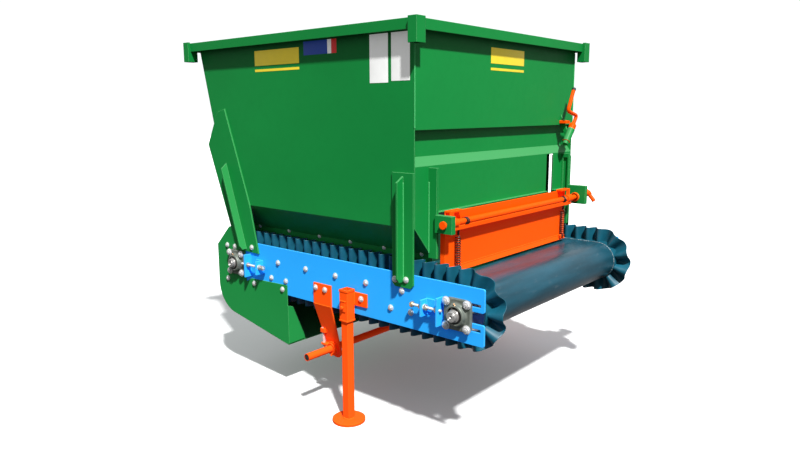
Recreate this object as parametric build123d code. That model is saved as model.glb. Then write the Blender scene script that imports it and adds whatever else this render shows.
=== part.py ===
from build123d import *
import math
import os

# Tractor-carried manure spreader with a wide cross conveyor.
# Millimetres. X runs along the conveyor, + towards the discharge roller.
# Y runs across the machine, + towards the tractor. Z is up.
# While it is drawn, x = 0 is half way between the rollers, y = 0 is the middle and
# z = 0 is 12 mm above the ground; the parts are written about the ground's middle.

# ---- driving dimensions ---------------------------------------------------
ROLLER_SPACING = 1510.0      # between the two roller axes
CONVEYOR_Z = 640.0           # height of the roller axes
RAIL_OUTER_Y = 720.0         # outer face of each side rail and of the hopper's side walls
RAIL_T = 8.0
RAIL_UP = 126.0              # rail above the roller axes
RAIL_DOWN = 118.0            # rail below them
RAIL_END = 127.0             # rail past the roller axis
FAR_RAIL_END = 76.0          # shorter end on the drive side
RAIL_CORNER_R = 9.0          # corners at the rail's ends and the notches' mouths
BOLT_SLOT_H = 14.0
BOLT_SLOT_FROM = 32.5        # slot's start and end past the roller axis
BOLT_SLOT_TO = 109.0
SHAFT_NOTCH_H = 50.0
SHAFT_NOTCH_IN = 34.0        # notch past the roller axis, inwards

ROLLER_R = 94.0
ROLLER_WALL = 6.0
ROLLER_IN = 15.0             # drum's end inside the belt's edge
ROLLER_DISC_T = 8.0
ROLLER_DISC_IN = 30.0        # end discs sit this far inside the drum
DISC_HOLE_R = 14.0
DISC_HOLE_AT = 58.0
DISC_HOLES = 4
SHAFT_R = 22.5
SHAFT_END = 56.0             # shaft end past the rail's outer face
SHAFT_FIT = 0.05             # radial running fit in the bearings

BELT_T = 7.0
BELT_FIT = 0.3
BELT_EDGE = 4.0              # belt past the sidewalls
SIDEWALL_H = 75.0
SIDEWALL_W = 52.0
SIDEWALL_IN = 54.0           # rail's outer face to the sidewall's outer side
BED_T = 5.0
BED_GAP = 1.0                # under the belt's upper run
BED_END = 115.0              # bed stops this far short of the roller axes

FLANGE = 137.0               # square flanged bearing
FLANGE_T = 18.0
FLANGE_R = 14.0
FLANGE_BOLT = 52.5
STUD_R = 12.0
STUD_H = 14.0
HOUSING_R = 40.0
HOUSING_OUT = 22.0

TENSION_T = 8.0              # thickness of the guide plate and the fixed lug
TAIL_TENSION = (41.0, 102.0, 47.0)      # bearing to plate, plate to lug, rod past the lug
DISCHARGE_TENSION = (10.0, 82.0, 75.0)  # the same at the other roller
TENSION_PLATE = (46.0, 62.0)  # out from the rail, half height
TENSION_LUG = (50.0, 34.0, 40.0)  # out from the rail, below and above the axis
TENSION_FOOT = 44.0
TENSION_ROD = (28.0, 6.0, 7.0)    # out from the rail, above the axis, radius
TENSION_NUT = (12.0, 16.0)        # radius, length

CROSS_X = (-408.0, -191.0, 24.0, 227.0, 447.0)
CROSS_W = 40.0
CROSS_H = 80.0
CROSS_WALL = 3.0
TIE_X = (-467.0, 381.0)
TIE_DROP = 45.0
TIE_R = 20.0

WALL = 4.0
FRONT_X = 517.0              # outer face of the discharge end wall
BACK_X = -819.0              # outer face of the back wall at FOLD_TOP_Z
BACK_SLOPE = 0.2518          # outward run of the back wall for each mm up
FOLD_TOP_Z = 971.0
FOLD_CLEAR = 20.0            # fold's foot above the sidewalls
SKIRT_CLEAR = 8.0            # vertical skirt inside the sidewalls
SKIRT_GAP = 25.0             # skirt above the belt
RUBBER_T = 6.0
RUBBER_GAP = 3.0             # between the strips and the belt
RUBBER_LAP = 6.0             # strip's top below the fold's foot
HOPPER_TOP = 1841.0

STEP_Z = 1394.0              # lower edge of the end wall's upper panel
STEP_IN = 31.0               # how far the strip below it is set back
LEDGE_TOP_Z = 1275.0
LEDGE_BOTTOM_Z = 1236.0
PANEL_BOTTOM_Z = 1025.0
LIP = 18.0
INNER_X = 362.0              # inner wall behind the lower panel
INNER_KNEE_Z = 1190.0
INNER_BOTTOM_Z = 1000.0
SLOT_FROM_CORNER = 213.0     # sight slot, from the far side wall's outer face
SLOT_W = 76.0
WINDOW_W = 28.0              # window in the far wall, in front of the inner wall
WINDOW_GAP = 18.0

RIM_OUT = 45.0
RIM_H = 45.0
CAP_T = 3.0                  # wall of the square sockets on the rim's corners
CAP_PROUD = 15.0             # socket's outer faces outside the rim's
CAP_SIDE = (46.0, 58.0)      # along X, along Y
CAP_H = 105.0
CAP_ABOVE = 5.0

UPRIGHT_OUT = 45.0
UPRIGHT_T = 14.0
UPRIGHT_BY = 16.0            # upright's outer face outside the skirt
UPRIGHT_TOP_Z = 1228.0
UPRIGHT_CLEAR = 12.0         # upright's foot above the sidewalls
GROOVE_W = 27.0              # groove along the inner side of each upright
GROOVE_T = 9.0
GROOVE_DOWN = 22.0           # groove's top below the upright's

GATE_AXIS_X = 614.0
GATE_AXIS_Z = 987.0
BRACKET = 78.0               # height of the gate brackets, and their width round the axis
BRACKET_T = 27.0
FAR_BRACKET_MORE = (16.0, 25.0)   # the far bracket reaches further out and up
FAR_BUSH = (22.0, 20.0)      # pin's bush on the far bracket: radius, length
GATE_BAR_R = 15.0
GATE_PIN_R = 14.0
PIN_FIT = 0.05
GATE_SIDE_CLEAR = 18.0       # flap inside the uprights
GATE_FAR_IN = 60.0           # flap and bar stop this much further in at the far end
GATE_X = 585.0               # outer face of the flap
GATE_T = 5.0
GATE_UP = 46.0               # flap above its hinge axis
GATE_BELT_GAP = 15.5         # flap's lower edge above the belt
GATE_KICK = (8.0, 26.0)      # lower edge bent outwards: run, height
GATE_FLANGE = 26.0           # end flanges, back towards the hopper
LEDGE_OUT = 40.0             # angle under the bar: outwards, below the axis, leg height
LEDGE_DROP = 32.0
LEDGE_LEG = 19.0
GATE_SPRING_IN = 90.0        # spring from the flap's end
GATE_FAR_SPRING_IN = 57.0    # the same at the far end
GATE_SPRING_R = 9.5
GATE_SPRING_EYE = (15.0, 2.5)     # length of the eye at each end, wire radius
GATE_SPRING_TOP = 52.0       # spring's top below the hinge axis
COLLAR_R = 20.0
COLLAR_LEN = 50.0
COLLAR_GAP = 5.5
END_DISC = (17.5, 9.0)       # radius, thickness
LOCK_AT = (41.0, 24.0)       # locking screw from the hinge axis, along X and up
LOCK_STUB = (9.0, 30.0)      # radius, length out of the bracket
LOCK_HANDLE = ((-6.0, 10.0), (44.0, -48.0))   # handle's ends from the screw, along X and up
LOCK_HANDLE_R = 11.0
ARM_LEN = 95.0               # hinge arms along the bar
ARM_T = 8.0

SUPPORT_T = 8.0
SUPPORT_W = 120.0
SUPPORT_TOP_Z = 1210.0
SUPPORT_DOWN = 64.0          # support's foot above the roller axes
SUPPORT_CORNER = 16.0
RIB_OUT = 40.0
RIB_T = 9.0
RIB_FOOT = 26.0              # rib's foot above the plate's
REAR_PLATE = [  # x, z: upper corners on the hopper, lower ones on the rail
    (-815, 1483),
    (-882, 1467),
    (-980, 1286),
    (-770, CONVEYOR_Z + 117),
    (-757, CONVEYOR_Z + 76),
    (-562, CONVEYOR_Z + 72),
    (-625, 971),
]
REAR_RIB = ((-822, 1188), (-669, CONVEYOR_Z + 86))  # x, z of the rib's ends on the plate

GUARD_T = 4.0
GUARD_CLEAR = 8.0            # round the sidewalls
GUARD_CHAMFER = 43.8         # slope of the upper corner, degrees
GUARD_CORNER = 70.0          # upper corner behind the tail axis
GUARD_R = 165.0
GUARD_RUN = 417.0            # guard's front past the tail axis
GUARD_DROP_Z = 389.0         # guard's front corner below the axis
GUARD_DROP = 0.186           # fall of the guard's floor for each mm of run
GUARD_FRONT_UP = 64.0        # side plate's front top below the axis
GUARD_STEP = (115.0, 12.0, 36.0)  # side plate's top: past the tail axis, first fall, whole fall
GUARD_WEB = ((0.0, 7.0), (0.0, 216.0), (35.0, 203.0), (110.0, 28.0), (110.0, 11.0))  # inwards, up
GUARD_HOLE = 6.0             # round the shaft

CRANK_FOOT = (572.0, 172.0, 1302.0)   # x, in from the side wall, z
CRANK_HUB = (576.0, 126.0, 1367.0)
CRANK_BEND = (579.0, 72.0, 1441.0)
CRANK_ELBOW = (579.0, 180.0, 1467.0)
CRANK_GRIP = (579.0, 116.0, 1592.0)
SLEEVE_R = 20.0
SLEEVE_LUG_T = 10.0
SLEEVE_LUG_ROOT = (2.0, 52.0)     # lug on the end wall, above the panel's step
SLEEVE_LUG_TIP = (15.0, -13.0, -40.0)  # its corners on the sleeve, above the hub
HUB_R = 17.0
CRANK_R = 10.0
HUB_LEN = 30.0

LEG_X = 134.0                # near parking leg
LEG_W = 40.0
LEG_WALL = 3.0
LEG_DOWN = 42.0              # leg's top below the roller axes
SOCKET_W = 50.0
SOCKET_CLEAR = 0.5           # between the leg and its socket
SOCKET_UP = 6.0              # socket's top above the roller axes
SOCKET_H = 155.0
FOOT_R = 80.0
FOOT_T = 13.0
FOOT_Z = -12.0               # underside of the feet
LUG_T = 8.0
LUG_OUT = 103.0
LUG_H = 64.0

HANGER_X = -66.0
HANGER_W = 124.0
HANGER_FOOT_W = 90.0
HANGER_T = 8.0
HANGER_UP = 10.0             # hanger's top below the roller axes
HANGER_KNEE = 3.0            # knee below the rail
FOOT_DROP = 14.0             # hanger's round end below the tube's axis
TUBE_Z = 282.0
TUBE_IN = 70.0               # cross tube is carried this far inside the rails
TUBE_R = 18.5
TUBE_WALL = 3.0
TUBE_END = 118.0             # tube past the rail's outer face
RING_OUT = 8.0

HITCH_X = -140.0             # middle of the three-point linkage
HITCH_SPAN = 825.0           # between the lower pins' shoulders
HITCH_PIN_R = 14.0
HITCH_PIN_LEN = 70.0         # free length of each lower pin
HITCH_SHANK_R = 17.0
HITCH_PIN_Z = 420.0
HITCH_MAST = 610.0
HITCH_BACK = 80.0            # pins' axis past the beam's middle
CHEEK_GAP = 70.0
CHEEK_T = 12.0
TOP_PIN_R = 12.85
CLEVIS_GAP = 52.0
CLEVIS_T = 12.0
MAST_HEAD = 34.0
MAST_T = 40.0
BEAM = 80.0
BEAM_Z = 480.0
BEAM_OUT = 70.0              # beam's middle past the rail
BEAM_END = 30.0              # beam past the lower pin's shoulder
POST_AT = 162.0
POST_W = 48.0
FAR_LEG_X = (-172.0, -690.0)      # front leg on the beam, rear leg at its end
FAR_SOCKET_Z = (390.0, 560.0)
FAR_LEG_TOP_Z = 520.0

MOTOR_R = 44.0
MOTOR_FROM = 20.0            # motor's near end outside the bearing's housing
MOTOR_LEN = 102.0
MOTOR_PORTS = (60.0, 30.0, 62.0)  # port block: width, length, top above the axis
TORQUE_ARM_AT = 26.0         # arm outside the bearing's housing
TORQUE_ARM_T = 10.0
TORQUE_ARM_HALF = 30.0       # half height of the arm
TORQUE_FOOT = 28.0
TORQUE_GAP = 3.5             # foot past the bearing's flange

SEAT = 0.5                   # gap where one piece is bolted against another

# ---- derived values -------------------------------------------------------
half_spacing = ROLLER_SPACING / 2
rail_top = CONVEYOR_Z + RAIL_UP
rail_bottom = CONVEYOR_Z - RAIL_DOWN
rail_inner_y = RAIL_OUTER_Y - RAIL_T
belt_inner_r = ROLLER_R + BELT_FIT
belt_outer_r = belt_inner_r + BELT_T
belt_top = CONVEYOR_Z + belt_outer_r
sidewall_r = belt_outer_r + SIDEWALL_H
sidewall_top = CONVEYOR_Z + sidewall_r
sidewall_out = RAIL_OUTER_Y - SIDEWALL_IN
sidewall_in = sidewall_out - SIDEWALL_W
belt_half = sidewall_out + BELT_EDGE
roller_half = belt_half - ROLLER_IN

hopper_half = RAIL_OUTER_Y
wall_inner = hopper_half - WALL
skirt_half = sidewall_in - SKIRT_CLEAR
fold_bottom = sidewall_top + FOLD_CLEAR
skirt_bottom = belt_top + SKIRT_GAP

upright_y = skirt_half + UPRIGHT_BY
upright_in = upright_y - UPRIGHT_T
gate_half = upright_in - GATE_SIDE_CLEAR
gate_bottom = belt_top + GATE_BELT_GAP

guard_r = sidewall_r + GUARD_CLEAR + GUARD_T
guard_back_x = -half_spacing - guard_r
guard_front_x = -half_spacing + GUARD_RUN
guard_front_z = CONVEYOR_Z - GUARD_DROP_Z

beam_y = RAIL_OUTER_Y + BEAM_OUT
hitch_y = beam_y + HITCH_BACK
pin_half = HITCH_SPAN / 2
mast_z = HITCH_PIN_Z + HITCH_MAST
far_leg_y = (beam_y + BEAM / 2 + SOCKET_W / 2, beam_y)
near_leg_y = -(RAIL_OUTER_Y + LUG_T + SOCKET_W / 2)
tube_y = RAIL_OUTER_Y - TUBE_IN
tube_end = RAIL_OUTER_Y + TUBE_END


# ---- helpers --------------------------------------------------------------
def block(x0, x1, y0, y1, z0, z1):
    return Pos((x0 + x1) / 2, (y0 + y1) / 2, (z0 + z1) / 2) * Box(x1 - x0, y1 - y0, z1 - z0)


def plate_xz(points, y0, y1):
    """A plate standing along X: outline of (x, z) points, from y0 to y1."""
    wire = Wire.make_polygon([Vector(x, y0, z) for x, z in points])
    return Solid.extrude(Face(wire), Vector(0, y1 - y0, 0))


def plate_yz(points, x0, x1):
    """A plate standing across: outline of (y, z) points, from x0 to x1."""
    wire = Wire.make_polygon([Vector(x0, y, z) for y, z in points])
    return Solid.extrude(Face(wire), Vector(x1 - x0, 0, 0))


def rod_x(radius, x0, x1, y, z):
    return Pos((x0 + x1) / 2, y, z) * Rot(0, 90, 0) * Cylinder(radius, x1 - x0)


def rod_y(radius, y0, y1, x, z):
    return Pos(x, (y0 + y1) / 2, z) * Rot(90, 0, 0) * Cylinder(radius, y1 - y0)


def rod_z(radius, z0, z1, x, y):
    return Pos(x, y, (z0 + z1) / 2) * Cylinder(radius, z1 - z0)


def rod_between(start, end, radius):
    """A round bar from one point to another."""
    axis = Vector(*end) - Vector(*start)
    return Solid.make_cylinder(radius, axis.length, Plane(origin=start, z_dir=axis))


def far(shape):
    """The same piece on the tractor side."""
    return mirror(shape, about=Plane.XZ)


def both(shape):
    return [shape, far(shape)]


def offset_path(path, thickness):
    """Close an open path of points into a strip with its thickness on the left."""
    left = []
    for i, point in enumerate(path):
        normals = []
        for a, b in ((i - 1, i), (i, i + 1)):
            if a >= 0 and b < len(path):
                dx = path[b][0] - path[a][0]
                dz = path[b][1] - path[a][1]
                length = math.hypot(dx, dz)
                normals.append((-dz / length, dx / length))
        nx = sum(n[0] for n in normals)
        nz = sum(n[1] for n in normals)
        scale = thickness * len(normals) / (nx * nx + nz * nz)
        left.append((point[0] + nx * scale, point[1] + nz * scale))
    return list(path) + left[::-1]


def back_x(z):
    """Outer face of the sloping back wall at a height."""
    return BACK_X - (z - FOLD_TOP_Z) * BACK_SLOPE


# ---- hopper ---------------------------------------------------------------
back_bottom = back_x(skirt_bottom)
sheet_top = HOPPER_TOP - WALL
back_thick = WALL * math.hypot(1, BACK_SLOPE)
hopper_side = [
    (back_x(sheet_top), sheet_top),
    (back_bottom, skirt_bottom),
    (FRONT_X, skirt_bottom),
    (FRONT_X, sheet_top),
]
hopper_section = [  # y, z from the top down
    (-hopper_half, sheet_top),
    (-hopper_half, FOLD_TOP_Z),
    (-skirt_half, fold_bottom),
    (-skirt_half, skirt_bottom),
]


def make_side_wall():
    folded = plate_yz(offset_path(hopper_section, WALL), back_x(HOPPER_TOP), FRONT_X)
    return folded & plate_xz(hopper_side, -hopper_half - 1, 0)


def inside_outline(bottom_z):
    """Closed outline between the side walls' inner faces, down to a height."""
    inner = offset_path(hopper_section, WALL)[len(hopper_section):][::-1]
    run = [point for point in inner if point[1] > bottom_z]
    (ya, za), (yb, zb) = run[-1], inner[len(run)]
    run.append((ya + (yb - ya) * (za - bottom_z) / (za - zb), bottom_z))
    return run + [(-y, z) for y, z in run[::-1]]


def make_back_wall():
    slab = plate_xz([
        (back_x(sheet_top), sheet_top),
        (back_bottom, skirt_bottom),
        (back_bottom + back_thick, skirt_bottom),
        (back_x(sheet_top) + back_thick, sheet_top),
    ], -hopper_half, hopper_half)
    return slab & plate_yz(inside_outline(skirt_bottom), back_x(HOPPER_TOP), 0)


def make_front_upper():
    panel = block(FRONT_X - WALL, FRONT_X, -wall_inner, wall_inner, STEP_Z, sheet_top)
    shelf = block(FRONT_X - STEP_IN - WALL, FRONT_X, -wall_inner, wall_inner, STEP_Z - WALL, STEP_Z)
    return panel + shelf


def make_front_lower():
    """Set-back strip, ledge and lower panel with its lip and sight slot."""
    recess_x = FRONT_X - STEP_IN
    path = [
        (FRONT_X, fold_bottom),
        (FRONT_X, LEDGE_BOTTOM_Z),
        (recess_x, LEDGE_TOP_Z),
        (recess_x, STEP_Z - WALL),
    ]
    reach = 5 * WALL
    panel = plate_xz(offset_path(path, WALL), -wall_inner, wall_inner)
    panel &= plate_yz(inside_outline(fold_bottom + 2 * RUBBER_LAP), 0, FRONT_X + 1)
    panel -= block(FRONT_X - reach, FRONT_X + 1, -upright_in, upright_in, 0, PANEL_BOTTOM_Z)
    panel += block(FRONT_X, FRONT_X + LIP, -upright_in, upright_in, PANEL_BOTTOM_Z, PANEL_BOTTOM_Z + WALL)
    slot_far = hopper_half - SLOT_FROM_CORNER
    slot_z = (PANEL_BOTTOM_Z - 1, LEDGE_BOTTOM_Z - WALL)
    return panel - block(FRONT_X - reach, FRONT_X + LIP + 1, slot_far - SLOT_W, slot_far, *slot_z)


def make_inner_wall():
    path = [
        (INNER_X, INNER_BOTTOM_Z),
        (INNER_X, INNER_KNEE_Z),
        (FRONT_X - STEP_IN - WALL, STEP_Z - WALL),
    ]
    wall = plate_xz(offset_path(path, WALL), -wall_inner, wall_inner)
    return wall & plate_yz(inside_outline(INNER_BOTTOM_Z), 0, FRONT_X)


def make_far_wall():
    """The near wall's mirror image, with a window in front of the inner wall."""
    x0 = INNER_X + WINDOW_GAP
    z0 = FOLD_TOP_Z + 2 * WALL
    z1 = LEDGE_BOTTOM_Z - WALL
    window = block(x0, x0 + WINDOW_W, wall_inner - WALL, hopper_half + 1, z0, z1)
    return far(make_side_wall()) - window


def make_rubber_strips():
    """Sealing strips inside the skirts and in front of the back wall's foot."""
    inner = skirt_half - WALL
    z0 = belt_top + RUBBER_GAP
    z1 = fold_bottom - RUBBER_LAP
    x0 = back_x(z0) + back_thick
    x1 = back_x(z1) + back_thick
    side = block(x0 + 2 * RUBBER_T, FRONT_X, -inner, -inner + RUBBER_T, z0, z1)
    half = inner - RUBBER_T - 2
    rear = plate_xz([(x0, z0), (x0 + RUBBER_T, z0), (x1 + RUBBER_T, z1), (x1, z1)], -half, half)
    return both(side) + [rear]


rim_x = (back_x(sheet_top) - RIM_OUT, FRONT_X + RIM_OUT)
rim_y = hopper_half + RIM_OUT


def make_rim():
    z0 = HOPPER_TOP - RIM_H
    rim = block(rim_x[0], rim_x[1], -rim_y, rim_y, z0, HOPPER_TOP)
    rim -= block(rim_x[0] + WALL, rim_x[1] - WALL, -rim_y + WALL, rim_y - WALL, z0 - 1, sheet_top)
    mouth_x = (back_x(sheet_top) + WALL, FRONT_X - WALL)
    return rim - block(*mouth_x, -wall_inner, wall_inner, z0, HOPPER_TOP + 1)


def make_corner_caps():
    """Square sockets on the rim's corners: outside the rim, and closed below it."""
    side_x, side_y = CAP_SIDE
    z1 = HOPPER_TOP + CAP_ABOVE
    z0 = z1 - CAP_H
    y0 = -rim_y - CAP_PROUD
    caps = []
    for corner, inwards in ((rim_x[0] - CAP_PROUD, 1), (rim_x[1] + CAP_PROUD, -1)):
        xa, xb = sorted((corner, corner + inwards * side_x))
        cap = block(xa, xb, y0, y0 + side_y, z0, z1)
        cap -= block(xa + CAP_T, xb - CAP_T, y0 + CAP_T, y0 + side_y - CAP_T, z0 - 1, z1 + 1)
        xa, xb = sorted((corner + inwards * (CAP_PROUD - SEAT), corner + inwards * (side_x + 1)))
        below_rim = HOPPER_TOP - RIM_H - SEAT
        cap -= block(xa, xb, y0 + CAP_PROUD - SEAT, y0 + side_y + 1, below_rim, z1 + 1)
        caps += both(cap)
    return caps


# ---- supports between hopper and rails -----------------------------------
support_out = -RAIL_OUTER_Y - SUPPORT_T
support_foot = CONVEYOR_Z + SUPPORT_DOWN


def make_front_support():
    """Plate and rib from the rail up the discharge corner, near side."""
    x0 = FRONT_X - SUPPORT_W
    c = SUPPORT_CORNER
    plate = plate_xz([
        (x0, support_foot + c),
        (x0 + c, support_foot),
        (FRONT_X - c, support_foot),
        (FRONT_X, support_foot + c),
        (FRONT_X, SUPPORT_TOP_Z),
        (x0, SUPPORT_TOP_Z),
    ], support_out, -RAIL_OUTER_Y)
    mid = (x0 + FRONT_X) / 2
    foot = support_foot + RIB_FOOT
    rib = plate_yz([
        (support_out, foot),
        (support_out - 0.7 * RIB_OUT, foot),
        (support_out - RIB_OUT, foot + 0.45 * RIB_OUT),
        (support_out - RIB_OUT, SUPPORT_TOP_Z - RIB_OUT),
        (support_out, SUPPORT_TOP_Z - SUPPORT_CORNER),
    ], mid - RIB_T / 2, mid + RIB_T / 2)
    return plate + rib


def make_rear_support():
    """Wide raking plate and rib at the tail end, near side."""
    plate = plate_xz(REAR_PLATE, support_out, -RAIL_OUTER_Y)
    (xa, za), (xb, zb) = REAR_RIB
    length = math.hypot(xa - xb, za - zb)
    lean = math.degrees(math.atan2(xb - xa, za - zb))
    rib = plate_yz([
        (0, 0),
        (-0.7 * RIB_OUT, 0),
        (-RIB_OUT, 0.5 * RIB_OUT),
        (-RIB_OUT, length - 0.75 * RIB_OUT),
        (0, length),
    ], -RIB_T / 2, RIB_T / 2)
    return plate + Pos(xb, support_out, zb) * Rot(0, -lean, 0) * rib


# ---- conveyor -------------------------------------------------------------
def stadium(radius, y0, y1):
    """Racetrack prism round both roller axes."""
    body = block(-half_spacing, half_spacing, y0, y1, CONVEYOR_Z - radius, CONVEYOR_Z + radius)
    for x in (-half_spacing, half_spacing):
        body += rod_y(radius, y0, y1, x, CONVEYOR_Z)
    return body


def make_belt():
    return stadium(belt_outer_r, -belt_half, belt_half) - stadium(belt_inner_r, -belt_half - 1, belt_half + 1)


def make_sidewall():
    y0 = -sidewall_out
    y1 = -sidewall_in
    return stadium(sidewall_r, y0, y1) - stadium(belt_outer_r, y0 - 1, y1 + 1)


def make_roller(x):
    drum = rod_y(ROLLER_R, -roller_half, roller_half, x, CONVEYOR_Z)
    drum -= rod_y(ROLLER_R - ROLLER_WALL, -roller_half - 1, roller_half + 1, x, CONVEYOR_Z)
    disc_y = roller_half - ROLLER_DISC_IN
    disc = rod_y(ROLLER_R - ROLLER_WALL / 2, -disc_y, -disc_y + ROLLER_DISC_T, x, CONVEYOR_Z)
    for k in range(DISC_HOLES):
        angle = 2 * math.pi * (k + 0.5) / DISC_HOLES
        hole_x = x + DISC_HOLE_AT * math.cos(angle)
        hole_z = CONVEYOR_Z + DISC_HOLE_AT * math.sin(angle)
        disc -= rod_y(DISC_HOLE_R, -disc_y - 1, -disc_y + ROLLER_DISC_T + 1, hole_x, hole_z)
    for one in both(disc):
        drum += one
    end = RAIL_OUTER_Y + SHAFT_END
    return drum + rod_y(SHAFT_R, -end, end, x, CONVEYOR_Z)


def make_rail(discharge_end):
    """One side rail, near side, with the notches and bolt slots of its bearings."""
    x0 = -half_spacing - RAIL_END
    x1 = half_spacing + discharge_end
    y0 = -RAIL_OUTER_Y
    y1 = -rail_inner_y
    rail = block(x0, x1, y0, y1, rail_bottom, rail_top)
    notch = SHAFT_NOTCH_H / 2
    for side, end in ((-1, RAIL_END), (1, discharge_end)):
        axis = side * half_spacing
        xa, xb = sorted((axis - side * SHAFT_NOTCH_IN, axis + side * (end + 1)))
        rail -= block(xa, xb, y0 - 1, y1 + 1, CONVEYOR_Z - notch, CONVEYOR_Z + notch)
    corners = rail.edges().filter_by(Axis.Y).group_by(Axis.X)
    rail = fillet(corners[0] + corners[-1], RAIL_CORNER_R)
    for side, end in ((-1, RAIL_END), (1, discharge_end)):
        axis = side * half_spacing
        if end > BOLT_SLOT_TO:
            xa, xb = sorted((axis + side * BOLT_SLOT_FROM, axis + side * BOLT_SLOT_TO))
            for z in (CONVEYOR_Z - FLANGE_BOLT, CONVEYOR_Z + FLANGE_BOLT):
                rail -= block(xa, xb, y0 - 1, y1 + 1, z - BOLT_SLOT_H / 2, z + BOLT_SLOT_H / 2)
    return rail


def make_bearing(x, seat_y):
    """Square flanged bearing on the near side, seated on seat_y."""
    half = FLANGE / 2
    face = -seat_y - FLANGE_T
    bearing = block(x - half, x + half, face, -seat_y, CONVEYOR_Z - half, CONVEYOR_Z + half)
    bearing = fillet(bearing.edges().filter_by(Axis.Y), FLANGE_R)
    bearing += rod_y(HOUSING_R, face - HOUSING_OUT, face, x, CONVEYOR_Z)
    for dx in (-FLANGE_BOLT, FLANGE_BOLT):
        for dz in (-FLANGE_BOLT, FLANGE_BOLT):
            bearing += rod_y(STUD_R, face - STUD_H, face, x + dx, CONVEYOR_Z + dz)
    return bearing - rod_y(SHAFT_R + SHAFT_FIT, face - HOUSING_OUT - 1, -seat_y + 1, x, CONVEYOR_Z)


# Each tensioner: the roller axis it serves, the way its lug lies and its three reaches.
flange_edge = FLANGE / 2 + SEAT
tail_tensioner = (-half_spacing, 1, TAIL_TENSION)
discharge_tensioner = (half_spacing, -1, DISCHARGE_TENSION)
rod_out, rod_up, rod_r = TENSION_ROD


def make_tension_lugs(x, side, reaches):
    """Guide plate beside the bearing and the fixed lug with its foot, near side."""
    y = -RAIL_OUTER_Y
    plate_gap, plate_to_lug, _ = reaches
    edge = x + side * (flange_edge + plate_gap)
    plate_out, plate_half = TENSION_PLATE
    lug_out, lug_down, lug_up = TENSION_LUG
    xa, xb = sorted((edge, edge + side * TENSION_T))
    plate = block(xa, xb, y - plate_out, y, CONVEYOR_Z - plate_half, CONVEYOR_Z + plate_half)
    plate -= rod_x(rod_r + PIN_FIT, xa - 1, xb + 1, y - rod_out, CONVEYOR_Z + rod_up)
    lug_x = edge + side * plate_to_lug
    xa, xb = sorted((lug_x, lug_x + side * TENSION_T))
    lug = block(xa, xb, y - lug_out, y, CONVEYOR_Z - lug_down, CONVEYOR_Z + lug_up)
    lug -= rod_x(rod_r + PIN_FIT, xa - 1, xb + 1, y - rod_out, CONVEYOR_Z + rod_up)
    xa, xb = sorted((lug_x, lug_x - side * TENSION_FOOT))
    lug += block(xa, xb, y - TENSION_T, y, CONVEYOR_Z - lug_down / 2, CONVEYOR_Z + lug_up)
    return [plate, lug]


def make_tension_rod(x, side, reaches):
    """Threaded rod from the bearing through plate and lug, with a nut on each side of the lug."""
    plate_gap, plate_to_lug, past_lug = reaches
    start = x + side * flange_edge
    lug_x = start + side * (plate_gap + plate_to_lug)
    y = -RAIL_OUTER_Y - rod_out
    z = CONVEYOR_Z + rod_up
    xa, xb = sorted((start, lug_x + side * past_lug))
    rod = rod_x(rod_r, xa, xb, y, z)
    nut_r, nut_len = TENSION_NUT
    for face in (lug_x - side * (nut_len + 1), lug_x + side * (TENSION_T + 1)):
        xa, xb = sorted((face, face + side * nut_len))
        rod += rod_x(nut_r, xa, xb, y, z)
    return rod


def make_cross_members():
    """Tubes between the rails under the bed."""
    z1 = CONVEYOR_Z + belt_inner_r - BED_GAP - BED_T
    z0 = z1 - CROSS_H
    half = CROSS_W / 2
    tubes = []
    for x in CROSS_X:
        tube = block(x - half, x + half, -rail_inner_y, rail_inner_y, z0, z1)
        tube -= block(x - half + CROSS_WALL, x + half - CROSS_WALL, -rail_inner_y - 1, rail_inner_y + 1,
                      z0 + CROSS_WALL, z1 - CROSS_WALL)
        tubes.append(tube)
    return tubes


def make_bed():
    z1 = CONVEYOR_Z + belt_inner_r - BED_GAP
    reach = half_spacing - BED_END
    return block(-reach, reach, -belt_half, belt_half, z1 - BED_T, z1)


def make_tie_bars():
    return [rod_y(TIE_R, -rail_inner_y, rail_inner_y, x, CONVEYOR_Z - TIE_DROP) for x in TIE_X]


# ---- tail guard -----------------------------------------------------------
chamfer = math.radians(GUARD_CHAMFER)


def on_chamfer(run, radius):
    """Height of the guard's raking corner at a run behind the tail axis."""
    return CONVEYOR_Z + (radius - run * math.sin(chamfer)) / math.cos(chamfer)


guard_top = (-half_spacing - GUARD_CORNER, on_chamfer(GUARD_CORNER, guard_r))
guard_shoulder = (guard_back_x, on_chamfer(guard_r, guard_r))


def guard_floor_z(x):
    return guard_front_z + (guard_front_x - x) * GUARD_DROP


def guard_arc():
    """Start, middle, end and centre of the round corner of the guard's side."""
    slope = math.atan(GUARD_DROP)
    turn = math.pi / 2 - slope
    corner = (guard_back_x, guard_floor_z(guard_back_x))
    reach = GUARD_R * math.tan(turn / 2)
    start = (corner[0], corner[1] + reach)
    end = (corner[0] + reach * math.cos(slope), corner[1] - reach * math.sin(slope))
    centre = (guard_back_x + GUARD_R, start[1])
    half_turn = math.pi + turn / 2
    middle = (centre[0] + GUARD_R * math.cos(half_turn), centre[1] + GUARD_R * math.sin(half_turn))
    return start, middle, end, centre


def outline_face(y, points_before, points_after):
    """Face in the XZ plane: straight runs, the guard's round corner, straight runs."""
    start, middle, end, _ = guard_arc()
    before = [Vector(x, y, z) for x, z in points_before + [start]]
    after = [Vector(x, y, z) for x, z in [end] + points_after + points_before[:1]]
    edges = [Edge.make_line(a, b) for a, b in zip(before, before[1:])]
    edges.append(Edge.make_three_point_arc(before[-1], Vector(middle[0], y, middle[1]), after[0]))
    edges += [Edge.make_line(a, b) for a, b in zip(after, after[1:])]
    return Face(Wire(edges))


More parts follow.
